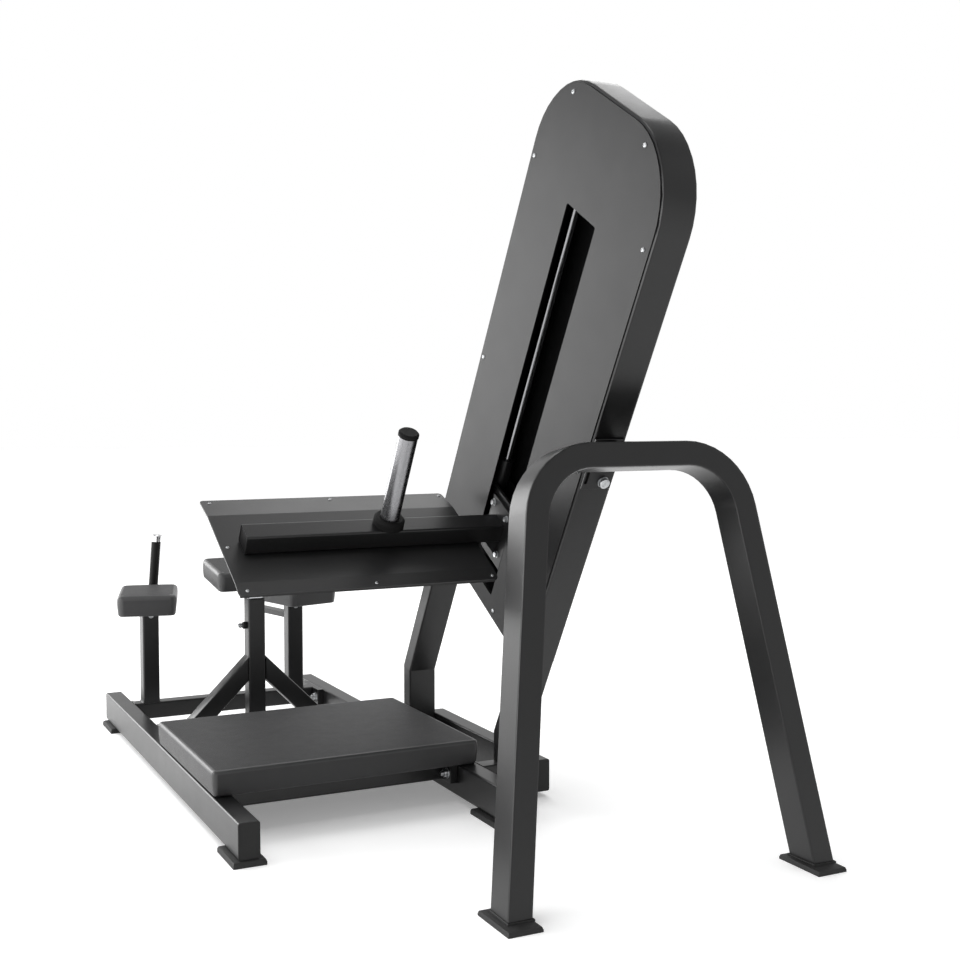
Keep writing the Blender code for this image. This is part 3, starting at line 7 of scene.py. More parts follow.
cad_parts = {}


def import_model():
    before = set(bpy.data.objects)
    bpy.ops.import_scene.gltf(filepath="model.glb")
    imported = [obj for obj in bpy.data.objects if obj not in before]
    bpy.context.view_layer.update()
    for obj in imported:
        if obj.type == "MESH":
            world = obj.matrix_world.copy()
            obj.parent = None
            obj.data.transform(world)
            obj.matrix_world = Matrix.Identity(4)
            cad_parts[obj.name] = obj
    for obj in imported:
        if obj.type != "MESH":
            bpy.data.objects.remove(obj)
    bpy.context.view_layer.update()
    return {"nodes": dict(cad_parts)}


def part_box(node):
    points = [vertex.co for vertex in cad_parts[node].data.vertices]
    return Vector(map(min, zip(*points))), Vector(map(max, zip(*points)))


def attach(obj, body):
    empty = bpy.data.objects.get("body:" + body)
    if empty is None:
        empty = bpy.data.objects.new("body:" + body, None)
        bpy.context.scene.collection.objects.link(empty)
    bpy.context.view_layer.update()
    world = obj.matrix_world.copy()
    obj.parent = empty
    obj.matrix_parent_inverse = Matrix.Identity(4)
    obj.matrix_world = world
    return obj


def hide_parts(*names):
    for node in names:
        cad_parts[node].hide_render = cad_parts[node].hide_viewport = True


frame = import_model()
NODES = frame["nodes"]

# ---------------------------------------------------------------- places

# Lengths are in metres, and places count from the left rail's rear outer corner.
LEAN = math.radians(30.0)
GAP = 0.0003
RAIL_UNDERSIDE = 0.013
RAIL_AXIS_HEIGHT = 0.0745
LEFT_RAIL_INNER = 0.0531
RIGHT_RAIL_INNER = 0.676
TUBE_HALF = 0.0265
TUBE_CORNER = 0.005
CROSS_MEMBERS_Y = (0.290, 0.993, 1.355)
CROSS_MEMBER_TOP = 0.1012
CENTRE_X = 0.3515
CENTRE_POST_Y = 1.0195
ELBOW_POST_Y = 1.3815
ELBOW_POSTS_X = (0.10625, 0.59675)

RAIL_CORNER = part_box("left_rail")[0]
DATUM = RAIL_CORNER[2] - RAIL_UNDERSIDE
BASE = Vector((RAIL_CORNER[0], RAIL_CORNER[1], DATUM))


def base(x, y, z):
    """A point given from the left rail's rear outer corner, at a height above the datum."""
    return BASE + Vector((x, y, z))


def leaning(x, q, s):
    """A point given in the leaning axes of the guide: q across it and s along it."""
    y = -math.sin(LEAN) * s + math.cos(LEAN) * q
    z = math.cos(LEAN) * s + math.sin(LEAN) * q
    return base(x, y, z)


ACROSS = Vector((0.0, math.cos(LEAN), math.sin(LEAN)))
ALONG = Vector((0.0, -math.sin(LEAN), math.cos(LEAN)))
X = Vector((1.0, 0.0, 0.0))
Y = Vector((0.0, 1.0, 0.0))
Z = Vector((0.0, 0.0, 1.0))
NEARLY_UPRIGHT = 0.9


def frame_of(origin, normal, up=None):
    """A matrix whose Z is the normal, at the origin."""
    n = normal.normalized()
    side = (up or (Z if abs(n.z) < NEARLY_UPRIGHT else Y)).cross(n).normalized()
    other = n.cross(side)
    m = Matrix((side, other, n)).transposed().to_4x4()
    m.translation = origin
    return m


# ---------------------------------------------------------------- materials

# Between these two values lies nearly all of a noise.
NOISE_LOW = 0.3
NOISE_HIGH = 0.7


class Nodes:
    """A small helper that adds and links shader nodes."""

    def __init__(self, name):
        self.material = bpy.data.materials.new(name)
        self.material.use_nodes = True
        self.tree = self.material.node_tree
        self.shader = self.tree.nodes["Principled BSDF"]
        self.place = self.add("ShaderNodeTexCoord").outputs["Object"]

    def add(self, kind, **values):
        node = self.tree.nodes.new(kind)
        for key, value in values.items():
            setattr(node, key, value)
        return node

    def link(self, a, b):
        self.tree.links.new(a, b)

    def mapping(self, scale):
        node = self.add("ShaderNodeMapping")
        node.inputs["Scale"].default_value = scale
        self.link(self.place, node.inputs["Vector"])
        return node.outputs["Vector"]

    def noise(self, scale, detail=3.0, rough=0.55, vector=None):
        node = self.add("ShaderNodeTexNoise")
        node.inputs["Scale"].default_value = scale
        node.inputs["Detail"].default_value = detail
        node.inputs["Roughness"].default_value = rough
        self.link(vector or self.place, node.inputs["Vector"])
        return node.outputs["Fac"]

    def voronoi(self, scale, feature):
        node = self.add("ShaderNodeTexVoronoi", feature=feature)
        node.inputs["Scale"].default_value = scale
        self.link(self.place, node.inputs["Vector"])
        return node.outputs["Distance"]

    def spread(self, source, given, wanted):
        """Maps the given range of a value to the wanted one."""
        node = self.add("ShaderNodeMapRange")
        self.link(source, node.inputs["Value"])
        for name, value in zip(("From Min", "From Max", "To Min", "To Max"), (*given, *wanted)):
            node.inputs[name].default_value = value
        return node.outputs["Result"]

    def vary(self, source, low, high):
        """Maps a noise to a range of values."""
        return self.spread(source, (NOISE_LOW, NOISE_HIGH), (low, high))

    def tint(self, source, dark, light):
        """Maps a noise to a range of colours."""
        node = self.add("ShaderNodeValToRGB")
        stops = ((NOISE_LOW, dark), (NOISE_HIGH, light))
        for element, (place, colour) in zip(node.color_ramp.elements, stops):
            element.position = place
            element.color = (*colour, 1.0)
        self.link(source, node.inputs["Fac"])
        return node.outputs["Color"]

    def maths(self, operation, a, b):
        node = self.add("ShaderNodeMath", operation=operation)
        for index, value in enumerate((a, b)):
            if isinstance(value, (int, float)):
                node.inputs[index].default_value = value
            else:
                self.link(value, node.inputs[index])
        return node.outputs[0]

    def bump(self, height, distance, strength, before=None):
        node = self.add("ShaderNodeBump")
        node.inputs["Distance"].default_value = distance
        node.inputs["Strength"].default_value = strength
        self.link(height, node.inputs["Height"])
        if before is not None:
            self.link(before, node.inputs["Normal"])
        return node.outputs["Normal"]

    def set(self, **values):
        """Sets or links inputs of the surface; an input's name has _ for each space."""
        for key, value in values.items():
            socket = self.shader.inputs[key.replace("_", " ")]
            if isinstance(value, (int, float, tuple)):
                socket.default_value = value
            else:
                self.link(value, socket)


def powder_coat(name, dark, light, roughness, specular):
    """Satin powder coat: fine orange peel, and faint differences in colour and gloss."""
    n = Nodes(name)
    cloud = n.noise(6.0, detail=4.0)
    grain = n.noise(900.0, detail=2.0)
    gloss = n.noise(14.0)
    peel = n.noise(260.0, detail=2.0, rough=0.4)
    n.set(
        Base_Color=n.tint(cloud, dark, light),
        Roughness=n.vary(gloss, roughness - 0.012, roughness + 0.012),
        IOR=1.5,
        Specular_IOR_Level=specular,
        Normal=n.bump(grain, 0.00006, 0.6, before=n.bump(peel, 0.0002, 0.4)),
    )
    return n.material


TIGHT = "tightness"


def vinyl(name):
    """Black upholstery vinyl: a pebbled grain with faint creases, glossier where it is tight."""
    n = Nodes(name)
    pebble_scale = 620.0
    domes = n.spread(n.voronoi(pebble_scale, "F1"), (0.0, 0.9), (0.6, 0.0))
    grooves = n.spread(n.voronoi(pebble_scale, "DISTANCE_TO_EDGE"), (0.0, 0.12), (0.0, 0.5))
    creases = n.maths("MULTIPLY", n.noise(90.0, detail=2.0), 0.35)
    relief = n.maths("ADD", n.maths("ADD", domes, grooves), creases)
    tight = n.add("ShaderNodeAttribute", attribute_name=TIGHT).outputs["Fac"]
    slack_roughness = n.vary(n.noise(30.0), 0.46, 0.51)
    n.set(
        Base_Color=n.tint(n.noise(9.0, detail=4.0), (0.050, 0.050, 0.051), (0.055, 0.055, 0.056)),
        Roughness=n.maths("SUBTRACT", slack_roughness, n.maths("MULTIPLY", tight, 0.16)),
        IOR=1.47,
        Specular_IOR_Level=n.spread(tight, (0.0, 1.0), (0.09, 0.45)),
        Normal=n.bump(relief, 0.00022, 0.55),
    )
    return n.material


def chrome(name, roughness, turned=0.0, colour=(0.62, 0.63, 0.65), relief=0.35):
    """Plated steel with a faint polish, in lines across the axis where the piece was turned."""
    n = Nodes(name)
    stretched = n.mapping((60.0, 60.0, 60.0 + turned * 2600.0))
    lines = n.noise(1.0, rough=0.6, vector=stretched)
    dull = tuple(channel * 0.92 for channel in colour)
    n.set(
        Base_Color=n.tint(n.noise(25.0), dull, colour),
        Metallic=1.0,
        Roughness=n.vary(lines, roughness - 0.010, roughness + 0.020),
        Normal=n.bump(lines, 0.00003, relief),
    )
    return n.material


def zinc(name):
    """Zinc plate with a soft cloud of crystals."""
    n = Nodes(name)
    cloud = n.noise(70.0, detail=5.0, rough=0.65)
    n.set(
        Base_Color=n.tint(cloud, (0.42, 0.43, 0.44), (0.60, 0.61, 0.62)),
        Metallic=1.0,
        Roughness=n.vary(cloud, 0.28, 0.42),
        Normal=n.bump(n.noise(420.0, detail=2.0), 0.00005, 0.5),
    )
    return n.material


def rubber(name, shade, roughness=0.62, grain=420.0, specular=0.5):
    """Moulded rubber with a fine grain."""
    n = Nodes(name)
    mottled = n.noise(grain)
    n.set(
        Base_Color=n.tint(n.noise(18.0, detail=4.0), (shade * 0.85,) * 3, (shade * 1.25,) * 3),
        Roughness=n.vary(mottled, roughness - 0.06, roughness + 0.08),
        IOR=1.45,
        Specular_IOR_Level=specular,
        Normal=n.bump(mottled, 0.00012, 0.6),
    )
    return n.material


def ribbed_rubber(name):
    """Rubber with a pressed grain of small cells."""
    n = Nodes(name)
    cells = n.spread(n.voronoi(240.0, "DISTANCE_TO_EDGE"), (0.0, 0.25), (0.0, 1.0))
    n.set(
        Base_Color=n.tint(n.noise(20.0), (0.014,) * 3, (0.020,) * 3),
        Roughness=n.vary(n.noise(60.0), 0.6, 0.72),
        IOR=1.45,
        Normal=n.bump(cells, 0.0006, 0.6),
    )
    return n.material


def plastic(name, shade=0.012, roughness=0.45, specular=0.3):
    """Moulded plastic with a very fine grain."""
    n = Nodes(name)
    n.set(
        Base_Color=n.tint(n.noise(15.0), (shade * 0.9,) * 3, (shade * 1.15,) * 3),
        Roughness=n.vary(n.noise(40.0), roughness - 0.04, roughness + 0.05),
        IOR=1.46,
        Specular_IOR_Level=specular,
        Normal=n.bump(n.noise(1100.0, detail=2.0), 0.00006, 0.6),
    )
    return n.material


PAINT = powder_coat(
    "satin_black_paint", (0.0080, 0.0080, 0.0083), (0.0095, 0.0095, 0.0099),
    roughness=0.31, specular=0.42,
)
PANEL = powder_coat(
    "panel_paint", (0.0105, 0.0105, 0.0108), (0.0130, 0.0130, 0.0134),
    roughness=0.40, specular=0.15,
)
SHEET = powder_coat(
    "sheet_paint", (0.0105, 0.0105, 0.0108), (0.0135, 0.0135, 0.0139),
    roughness=0.38, specular=0.45,
)
VINYL = vinyl("black_vinyl")
CHROME = chrome("chrome_plate", roughness=0.12)
SLEEVE = chrome("sleeve_plate", roughness=0.27, colour=(0.30, 0.30, 0.31), relief=0.0)
ROD = chrome("rod_plate", roughness=0.12, turned=0.4, colour=(0.34, 0.34, 0.35))
ZINC = zinc("zinc_plate")
RUBBER = rubber("black_rubber", shade=0.016)
SOLE = ribbed_rubber("foot_pad_rubber")
GRIP = rubber("grip_rubber", shade=0.006, roughness=0.55, grain=700.0, specular=0.25)
PLASTIC = plastic("black_plastic")
MATT = plastic("matt_plastic", shade=0.011, roughness=0.62, specular=0.12)
HANDLE = chrome("handle_plate", roughness=0.20, colour=(0.82, 0.82, 0.83), relief=0.1)

LOOKS = {
    "chest_stem": CHROME, "pull_pin": ZINC, "weight_sleeve": SLEEVE,
    "left_handle_rod": HANDLE, "right_handle_rod": HANDLE,
    "rear_guide_rod": ROD, "front_guide_rod": ROD,
    "left_handle_grip": GRIP, "right_handle_grip": GRIP,
    "left_panel": PANEL, "right_panel": PANEL, "foot_plate": SHEET, "foot_pad": SOLE,
    "rear_bumper": RUBBER, "front_bumper": RUBBER,
    "post_bush": PLASTIC, "pin_collar": PLASTIC, "sleeve_collar": MATT, "sleeve_cap": MATT,
}


def look_of(node_name):
    """A node's own look, or plastic for a tube's cap, rubber for a shoe, paint for the rest."""
    if node_name in LOOKS:
        return LOOKS[node_name]
    if node_name.endswith("_cap"):
        return PLASTIC
    return RUBBER if node_name.endswith("_foot") else PAINT


for node_name, node in NODES.items():
    node.data.materials.clear()
    node.data.materials.append(look_of(node_name))


# ---------------------------------------------------------------- shading of the solids

SMOOTH_ANGLE = 38.0
FOLD_ANGLE = 5.0
WELD_DISTANCE = 0.00001
MITRE_TOLERANCE = 0.0006


def shading_group(name, degrees, mitre=None):
    """Welds a mesh and shades it smooth, but not over sharper edges or along a mitre."""
    tree = bpy.data.node_groups.new(name, "GeometryNodeTree")
    tree.interface.new_socket("Geometry", in_out="INPUT", socket_type="NodeSocketGeometry")
    tree.interface.new_socket("Geometry", in_out="OUTPUT", socket_type="NodeSocketGeometry")
    nodes, links = tree.nodes, tree.links
    start = nodes.new("NodeGroupInput")
    end = nodes.new("NodeGroupOutput")
    merge = nodes.new("GeometryNodeMergeByDistance")
    merge.inputs["Distance"].default_value = WELD_DISTANCE
    faces = nodes.new("GeometryNodeSetShadeSmooth")
    faces.domain = "FACE"
    edges = nodes.new("GeometryNodeSetShadeSmooth")
    edges.domain = "EDGE"
    edges.inputs["Shade Smooth"].default_value = False
    angle = nodes.new("GeometryNodeInputMeshEdgeAngle")
    compare = nodes.new("FunctionNodeCompare")
    compare.data_type = "FLOAT"
    compare.operation = "GREATER_THAN"
    compare.inputs["B"].default_value = math.radians(degrees)
    links.new(start.outputs[0], merge.inputs["Geometry"])
    links.new(merge.outputs["Geometry"], faces.inputs["Geometry"])
    links.new(faces.outputs["Geometry"], edges.inputs["Geometry"])
    links.new(angle.outputs["Unsigned Angle"], compare.inputs["A"])

    def logic(operation, a, b):
        node = nodes.new("FunctionNodeBooleanMath")
        node.operation = operation
        links.new(a, node.inputs[0])
        links.new(b, node.inputs[1])
        return node.outputs[0]

    sharp = compare.outputs["Result"]
    if mitre:
        point, normal = mitre
        ends = nodes.new("GeometryNodeInputMeshEdgeVertices")
        on_plane = []
        for end_point in ("Position 1", "Position 2"):
            height = nodes.new("ShaderNodeVectorMath")
            height.operation = "DOT_PRODUCT"
            height.inputs[1].default_value = normal
            links.new(ends.outputs[end_point], height.inputs[0])
            close = nodes.new("FunctionNodeCompare")
            close.data_type = "FLOAT"
            close.operation = "EQUAL"
            close.inputs["B"].default_value = point.dot(normal)
            close.inputs["Epsilon"].default_value = MITRE_TOLERANCE
            links.new(height.outputs["Value"], close.inputs["A"])
            on_plane.append(close.outputs["Result"])
        sharp = logic("OR", logic("AND", *on_plane), sharp)
    links.new(sharp, edges.inputs["Selection"])
    links.new(edges.outputs["Geometry"], end.inputs[0])
    return tree


# The housing's legs bend where the guide's lean begins, on the plane that halves the angle.
BEND_POINT = base(0.0, 0.81095, 0.2413)
BEND_NORMAL = Vector((0.0, -math.sin(LEAN / 2), math.cos(LEAN / 2)))
SMOOTH = shading_group("smooth_by_angle", SMOOTH_ANGLE)
SHADING = {
    "foot_plate": shading_group("crisp_folds", FOLD_ANGLE),
    "housing_frame": shading_group("crisp_mitre", SMOOTH_ANGLE, (BEND_POINT, BEND_NORMAL)),
}
for name, node in NODES.items():
    node.modifiers.new("smooth_by_angle", "NODES").node_group = SHADING.get(name, SMOOTH)
    weighted = node.modifiers.new("flat_faces_first", "WEIGHTED_NORMAL")
    weighted.keep_sharp = True
    weighted.weight = 100


# ---------------------------------------------------------------- modelling helpers


def finish_mesh(name, shape, material, body, smooth=SMOOTH_ANGLE):
    """Turns a bmesh into a piece that rides on a body."""
    mesh = bpy.data.meshes.new(name)
    bmesh.ops.recalc_face_normals(shape, faces=shape.faces)
    shape.to_mesh(mesh)
    shape.free()
    mesh.shade_smooth()
    mesh.set_sharp_from_angle(angle=math.radians(smooth))
    mesh.materials.append(material)
    piece = bpy.data.objects.new(name, mesh)
    bpy.context.scene.collection.objects.link(piece)
    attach(piece, body)
    return piece


ROUND, HEX = False, True
RING_STEPS = 24


def hexagon(angle, radius):
    """How far a hexagon's side is from its middle at an angle; the radius is to its corners."""
    turn = math.fmod(angle, math.radians(60.0)) - math.radians(30.0)
    return radius * math.cos(math.radians(30.0)) / math.cos(turn)


def rings(shape, matrix, profile):
    """A solid from rings, each given as its radius, its height and ROUND or HEX."""
    loops = []
    for radius, height, section in profile:
        loop = []
        for i in range(RING_STEPS):
            angle = 2 * math.pi * i / RING_STEPS
            r = hexagon(angle, radius) if section == HEX else radius
            point = Vector((r * math.cos(angle), r * math.sin(angle), height))
            loop.append(shape.verts.new(matrix @ point))
        loops.append(loop)
    for low, high in zip(loops, loops[1:]):
        for i in range(RING_STEPS):
            j = (i + 1) % RING_STEPS
            shape.faces.new((low[i], low[j], high[j], high[i]))
    shape.faces.new(list(reversed(loops[0])))
    shape.faces.new(loops[-1])


# Profiles in shares of a piece's radius and height.
SCREW_HEAD = (
    (0.97, 0.0, ROUND), (1.0, 0.12, ROUND), (0.94, 0.45, ROUND), (0.80, 0.75, ROUND),
    (0.62, 0.93, ROUND), (0.50, 1.0, ROUND), (0.42, 0.97, HEX), (0.40, 0.30, HEX),
    (0.10, 0.22, ROUND),
)
BOLT_HEAD = (
    (1.0, 0.0, HEX), (1.0, 0.82, HEX), (0.86, 1.0, ROUND), (0.80, 0.98, ROUND),
    (0.30, 0.94, ROUND),
)
WASHER = ((0.98, 0.0, ROUND), (1.0, 0.4, ROUND), (0.97, 1.0, ROUND))


def turned_piece(shape, matrix, radius, height, profile):
    scaled = [(radius * across, height * up, section) for across, up, section in profile]
    rings(shape, matrix, scaled)


PANEL_SCREW = (0.0060, 0.0032)
PLATE_SCREW = (0.0045, 0.0024)


def button_screw(shape, at, normal, size, turn=0.0):
    """A low domed screw with a hexagonal socket; its size is its radius and its height."""
    matrix = frame_of(at, normal) @ Matrix.Rotation(turn, 4, "Z")
    turned_piece(shape, matrix, *size, SCREW_HEAD)


WASHER_SHARE = 0.62
WASHER_THICKNESS = 0.0018


def hex_bolt(shape, at, normal, across, height, turn):
    """A hexagonal bolt head with a chamfered top on a round washer."""
    turned_piece(shape, frame_of(at, normal), across * WASHER_SHARE, WASHER_THICKNESS, WASHER)
    on_washer = frame_of(at + normal.normalized() * WASHER_THICKNESS, normal)
    matrix = on_washer @ Matrix.Rotation(turn, 4, "Z")
    turned_piece(shape, matrix, across / 2, height, BOLT_HEAD)


BEAD_RADIUS = 0.0026
BEAD_STEP = 0.0022
BEAD_SIDES = 8
BEAD_RIPPLE = 0.10
BEAD_UNEVENNESS = 0.12
BEAD_NOISE_SCALE = 160.0
BEAD_UP = Vector((0.31, 0.57, 0.76))


def bead(shape, points, seed):
    """A weld bead round a closed path, with the ripples of its passes."""
    spots = []
    for a, b in zip(points, points[1:] + points[:1]):
        steps = max(2, int((b - a).length / BEAD_STEP))
        spots += [a.lerp(b, i / steps) for i in range(steps)]
    loops = []
    for i, spot in enumerate(spots):
        along = (spots[(i + 1) % len(spots)] - spots[i - 1]).normalized()
        matrix = frame_of(spot, along, BEAD_UP)
        uneven = noise.noise(spot * BEAD_NOISE_SCALE + Vector((seed, 0, 0)))
        r = BEAD_RADIUS * (1.0 + BEAD_RIPPLE * math.cos(i * math.pi) + BEAD_UNEVENNESS * uneven)
        loop = []
        for side in range(BEAD_SIDES):
            angle = side * 2 * math.pi / BEAD_SIDES
            point = Vector((r * math.cos(angle), r * math.sin(angle), 0.0))
            loop.append(shape.verts.new(matrix @ point))
        loops.append(loop)
    for low, high in zip(loops, loops[1:] + loops[:1]):
        for i in range(BEAD_SIDES):
            j = (i + 1) % BEAD_SIDES
            shape.faces.new((low[i], low[j], high[j], high[i]))


def tube_outline(centre, a, b):
    """Points round a square tube's section, in the plane of the directions a and b."""
    flat = TUBE_HALF - TUBE_CORNER
    points = []
    for sa, sb, quarter in ((1, 1, 0.0), (-1, 1, 0.5), (-1, -1, 1.0), (1, -1, 1.5)):
        for step in range(4):
            angle = (quarter + step / 6) * math.pi
            u = sa * flat + TUBE_CORNER * math.cos(angle)
            v = sb * flat + TUBE_CORNER * math.sin(angle)
            points.append(centre + a * u + b * v)
    return points


# ---------------------------------------------------------------- cushions

# Shares of the cube's grid that become the flat top and the flat sides.
TOP_SHARE = 0.70
SIDE_SHARE = 0.35
BASE_ROUND = 0.006
TUCK = 0.05
SIDE_SWELL = 0.0014
GATHER_START = 0.4
GATHER_DEPTH = 0.035
GATHER_COUNT = 22.0
GATHER_FADE = 1.2
GATHER_FOCUS = 14
CORNER_START = 0.15
SIDE_TIGHTNESS = 0.35
CROWN_SHAPE = 0.6
WAVE_SCALE = 7.0
WAVE_DEPTH = 0.0004


def stretched_grid(value, half, radius, share):
    """Where a grid line of the cube goes: past the share it lies on the round edge."""
    side = math.copysign(1.0, value)
    amount = abs(value)
    if amount > share:
        return side * (half - radius + radius * (amount - share) / (1 - share))
    return side * (half - radius) * amount / share


def on_round(out, up):
    """Brings a point of a square edge onto its round: how far it moves in, and its new height."""
    turned = Vector((out, up)).normalized() * max(out, up)
    return out - turned.x, turned.y


def pad_shape(width, length, thickness, corner, edge, crown, cuts, seed):
    """A cushion on its underside: a domed top, round edges and gathers low at its corners."""
    shape = bmesh.new()
    bmesh.ops.create_cube(shape, size=2.0)
    bmesh.ops.subdivide_edges(shape, edges=shape.edges, cuts=cuts, use_grid_fill=True)
    half_w, half_l = width / 2, length / 2
    top_round = thickness - edge
    tight = shape.verts.layers.float.new(TIGHT)
    for vert in shape.verts:
        x = stretched_grid(vert.co.x, half_w, corner, TOP_SHARE)
        y = stretched_grid(vert.co.y, half_l, corner, TOP_SHARE)
        z = stretched_grid(vert.co.z, thickness / 2, edge, SIDE_SHARE) + thickness / 2
        core_x = max(-(half_w - corner), min(half_w - corner, x))
        core_y = max(-(half_l - corner), min(half_l - corner, y))
        out = Vector((x - core_x, y - core_y))
        reach = max(abs(out.x), abs(out.y))
        if out.length > 0:
            out = out.normalized() * reach

        inward = 0.0
        past_edge = reach - (corner - edge)
        if z > top_round and past_edge > 0:
            inward, up = on_round(past_edge, z - top_round)
            z = top_round + up
        past_base = reach - (corner - BASE_ROUND)
        if z < BASE_ROUND and past_base > 0:
            moved, down = on_round(past_base, BASE_ROUND - z)
            inward += moved
            z = BASE_ROUND - down
        level = z / thickness
        outer = min(1.0, reach / corner)
        inward += thickness * TUCK * (1 - level) ** 2 * outer
        swell = SIDE_SWELL * math.sin(math.pi * min(1.0, max(0.0, level))) * outer
        if reach > 0:
            out = out * max(0.0, (reach - inward + swell) / reach)
        px, py = core_x + out.x, core_y + out.y

        if reach > GATHER_START * corner:
            near_x = min(1.0, (abs(px) / half_w) ** GATHER_FOCUS)
            near_y = min(1.0, (abs(py) / half_l) ** GATHER_FOCUS)
            angle = math.atan2(abs(out.y), abs(out.x)) if out.length else 0.0
            fold = math.sin(angle * 2) * math.cos(angle * GATHER_COUNT + seed)
            fold *= (1 - level) ** GATHER_FADE
            scale = 1.0 + GATHER_DEPTH * fold * (near_x * near_y)
            px, py = core_x + out.x * scale, core_y + out.y * scale

        over_top = z > top_round and past_edge > 0
        at_corner = min(abs(out.x), abs(out.y)) > CORNER_START * corner
        on_side = SIDE_TIGHTNESS if past_edge > 0 else 0.0
        vert[tight] = 1.0 if over_top or at_corner else on_side

        dome = max(0.0, 1 - (px / half_w) ** 4) * max(0.0, 1 - (py / half_l) ** 4)
        wave = noise.noise(Vector((px * WAVE_SCALE, py * WAVE_SCALE, seed))) * WAVE_DEPTH
        rise = crown * dome ** CROWN_SHAPE + wave * dome
        vert.co = Vector((px, py, z + rise * max(0.0, level) ** 2))
    return shape


def cushion(name, node, body, size, rounds, crown, matrix, cuts, seed):
    """Upholstery in place of a solid; the rounds are its corner's and its top edge's."""
    shape = pad_shape(*size, *rounds, crown, cuts, seed)
    shape.transform(matrix)
    piece = finish_mesh(name, shape, VINYL, body, smooth=60.0)
    level = piece.modifiers.new("smooth", "SUBSURF")
    level.levels = 1
    level.render_levels = 1
    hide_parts(node)


cushion(
    "knee_cushion", "knee_pad", "frame",
    size=(0.7275, 0.5935, 0.0655), rounds=(0.0140, 0.0085), crown=0.0018,
    matrix=Matrix.Translation(base(0.3645, 0.511, 0.1016)), cuts=45, seed=1.0,
)

CHEST_TILT = Matrix.Rotation(math.radians(7.5), 4, "X")
CHEST_PLACE = Matrix.Translation(base(CENTRE_X, CENTRE_POST_Y, 0.5183))
cushion(
    "chest_cushion", "chest_pad", "chest_rest",
    size=(0.2780, 0.2030, 0.0595), rounds=(0.0190, 0.0110), crown=0.0022,
    matrix=CHEST_PLACE @ CHEST_TILT @ Matrix.Translation((0, 0, 0.0028)), cuts=33, seed=2.0,
)

ELBOW_SPREAD = 0.24525
ELBOW_PLATE_TOP = 0.3986
ELBOW_TURN = math.radians(14.5)
for side, sign in (("left", 1), ("right", -1)):
    place = base(CENTRE_X - sign * ELBOW_SPREAD, ELBOW_POST_Y, ELBOW_PLATE_TOP)
    turn = Matrix.Rotation(-sign * ELBOW_TURN, 4, "Z")
    shift = Matrix.Translation((-sign * 0.0025, 0.012, 0))
    cushion(
        f"{side}_elbow_cushion", f"{side}_elbow_pad", "frame",
        size=(0.1830, 0.2840, 0.0660), rounds=(0.0220, 0.0120), crown=0.0022,
        matrix=Matrix.Translation(place) @ turn @ shift, cuts=33, seed=3.0 + sign,
    )


# ---------------------------------------------------------------- fasteners

# Each screw and bolt is turned by an angle of its own, as in a real machine.
PANEL_THICKNESS = 0.003
LEFT_PANEL_FACE = 0.784 - GAP - PANEL_THICKNESS
RIGHT_PANEL_FACE = 0.872 + GAP + PANEL_THICKNESS
# Across and along the guide.
PANEL_SCREW_SPOTS = (
    (0.742, 1.664), (0.3845, 1.664), (0.8495, 1.4655), (0.2765, 1.4655), (0.8495, 0.895),
    (0.2700, 0.895), (0.4565, 0.3265), (0.2700, 0.3265), (0.8495, 0.3265), (0.660, 0.3265),
)
panel_screws = bmesh.new()
for index, (q, s) in enumerate(PANEL_SCREW_SPOTS):
    left, right = leaning(LEFT_PANEL_FACE, q, s), leaning(RIGHT_PANEL_FACE, q, s)
    button_screw(panel_screws, left, -X, PANEL_SCREW, turn=index * 0.37)
    button_screw(panel_screws, right, X, PANEL_SCREW, turn=index * 0.53)
finish_mesh("panel_screws", panel_screws, ZINC, "frame")

# The foot plate's far and near strips are folded down; each row of screws is set from its fold.
FOLD = math.radians(8.0)
PLATE_TOP = 0.501 - GAP
FAR_FOLD, FAR_ROW = 0.707, 0.0712
NEAR_FOLD, NEAR_ROW = 0.422, 0.0278
PLATE_SCREWS_X = (0.0565, 0.3865, 0.7085)
plate_screws = bmesh.new()
far_q, far_s = FAR_FOLD + FAR_ROW * math.cos(FOLD), PLATE_TOP - FAR_ROW * math.sin(FOLD)
near_q, near_s = NEAR_FOLD - NEAR_ROW * math.cos(FOLD), PLATE_TOP - NEAR_ROW * math.sin(FOLD)
far_normal = ALONG * math.cos(FOLD) + ACROSS * math.sin(FOLD)
near_normal = ALONG * math.cos(FOLD) - ACROSS * math.sin(FOLD)
for index, x in enumerate(PLATE_SCREWS_X):
    far, near = leaning(x, far_q, far_s), leaning(x, near_q, near_s)
    button_screw(plate_screws, far, far_normal, PLATE_SCREW, turn=index * 0.4)
    button_screw(plate_screws, near, near_normal, PLATE_SCREW, turn=index * 0.7)
button_screw(plate_screws, leaning(0.0505, 0.567, PLATE_TOP), ALONG, PLATE_SCREW)
finish_mesh("foot_plate_screws", plate_screws, ZINC, "sliding_carriage")

BEAM_FLANGE_FACE = 0.7892
flange_bolts = bmesh.new()
for q in (0.527, 0.610):
    for s in (0.464, 0.579):
        spot = leaning(BEAM_FLANGE_FACE, q, s)
        hex_bolt(flange_bolts, spot, -X, across=0.015, height=0.007, turn=q * 40)
finish_mesh("flange_bolts", flange_bolts, ZINC, "sliding_carriage")

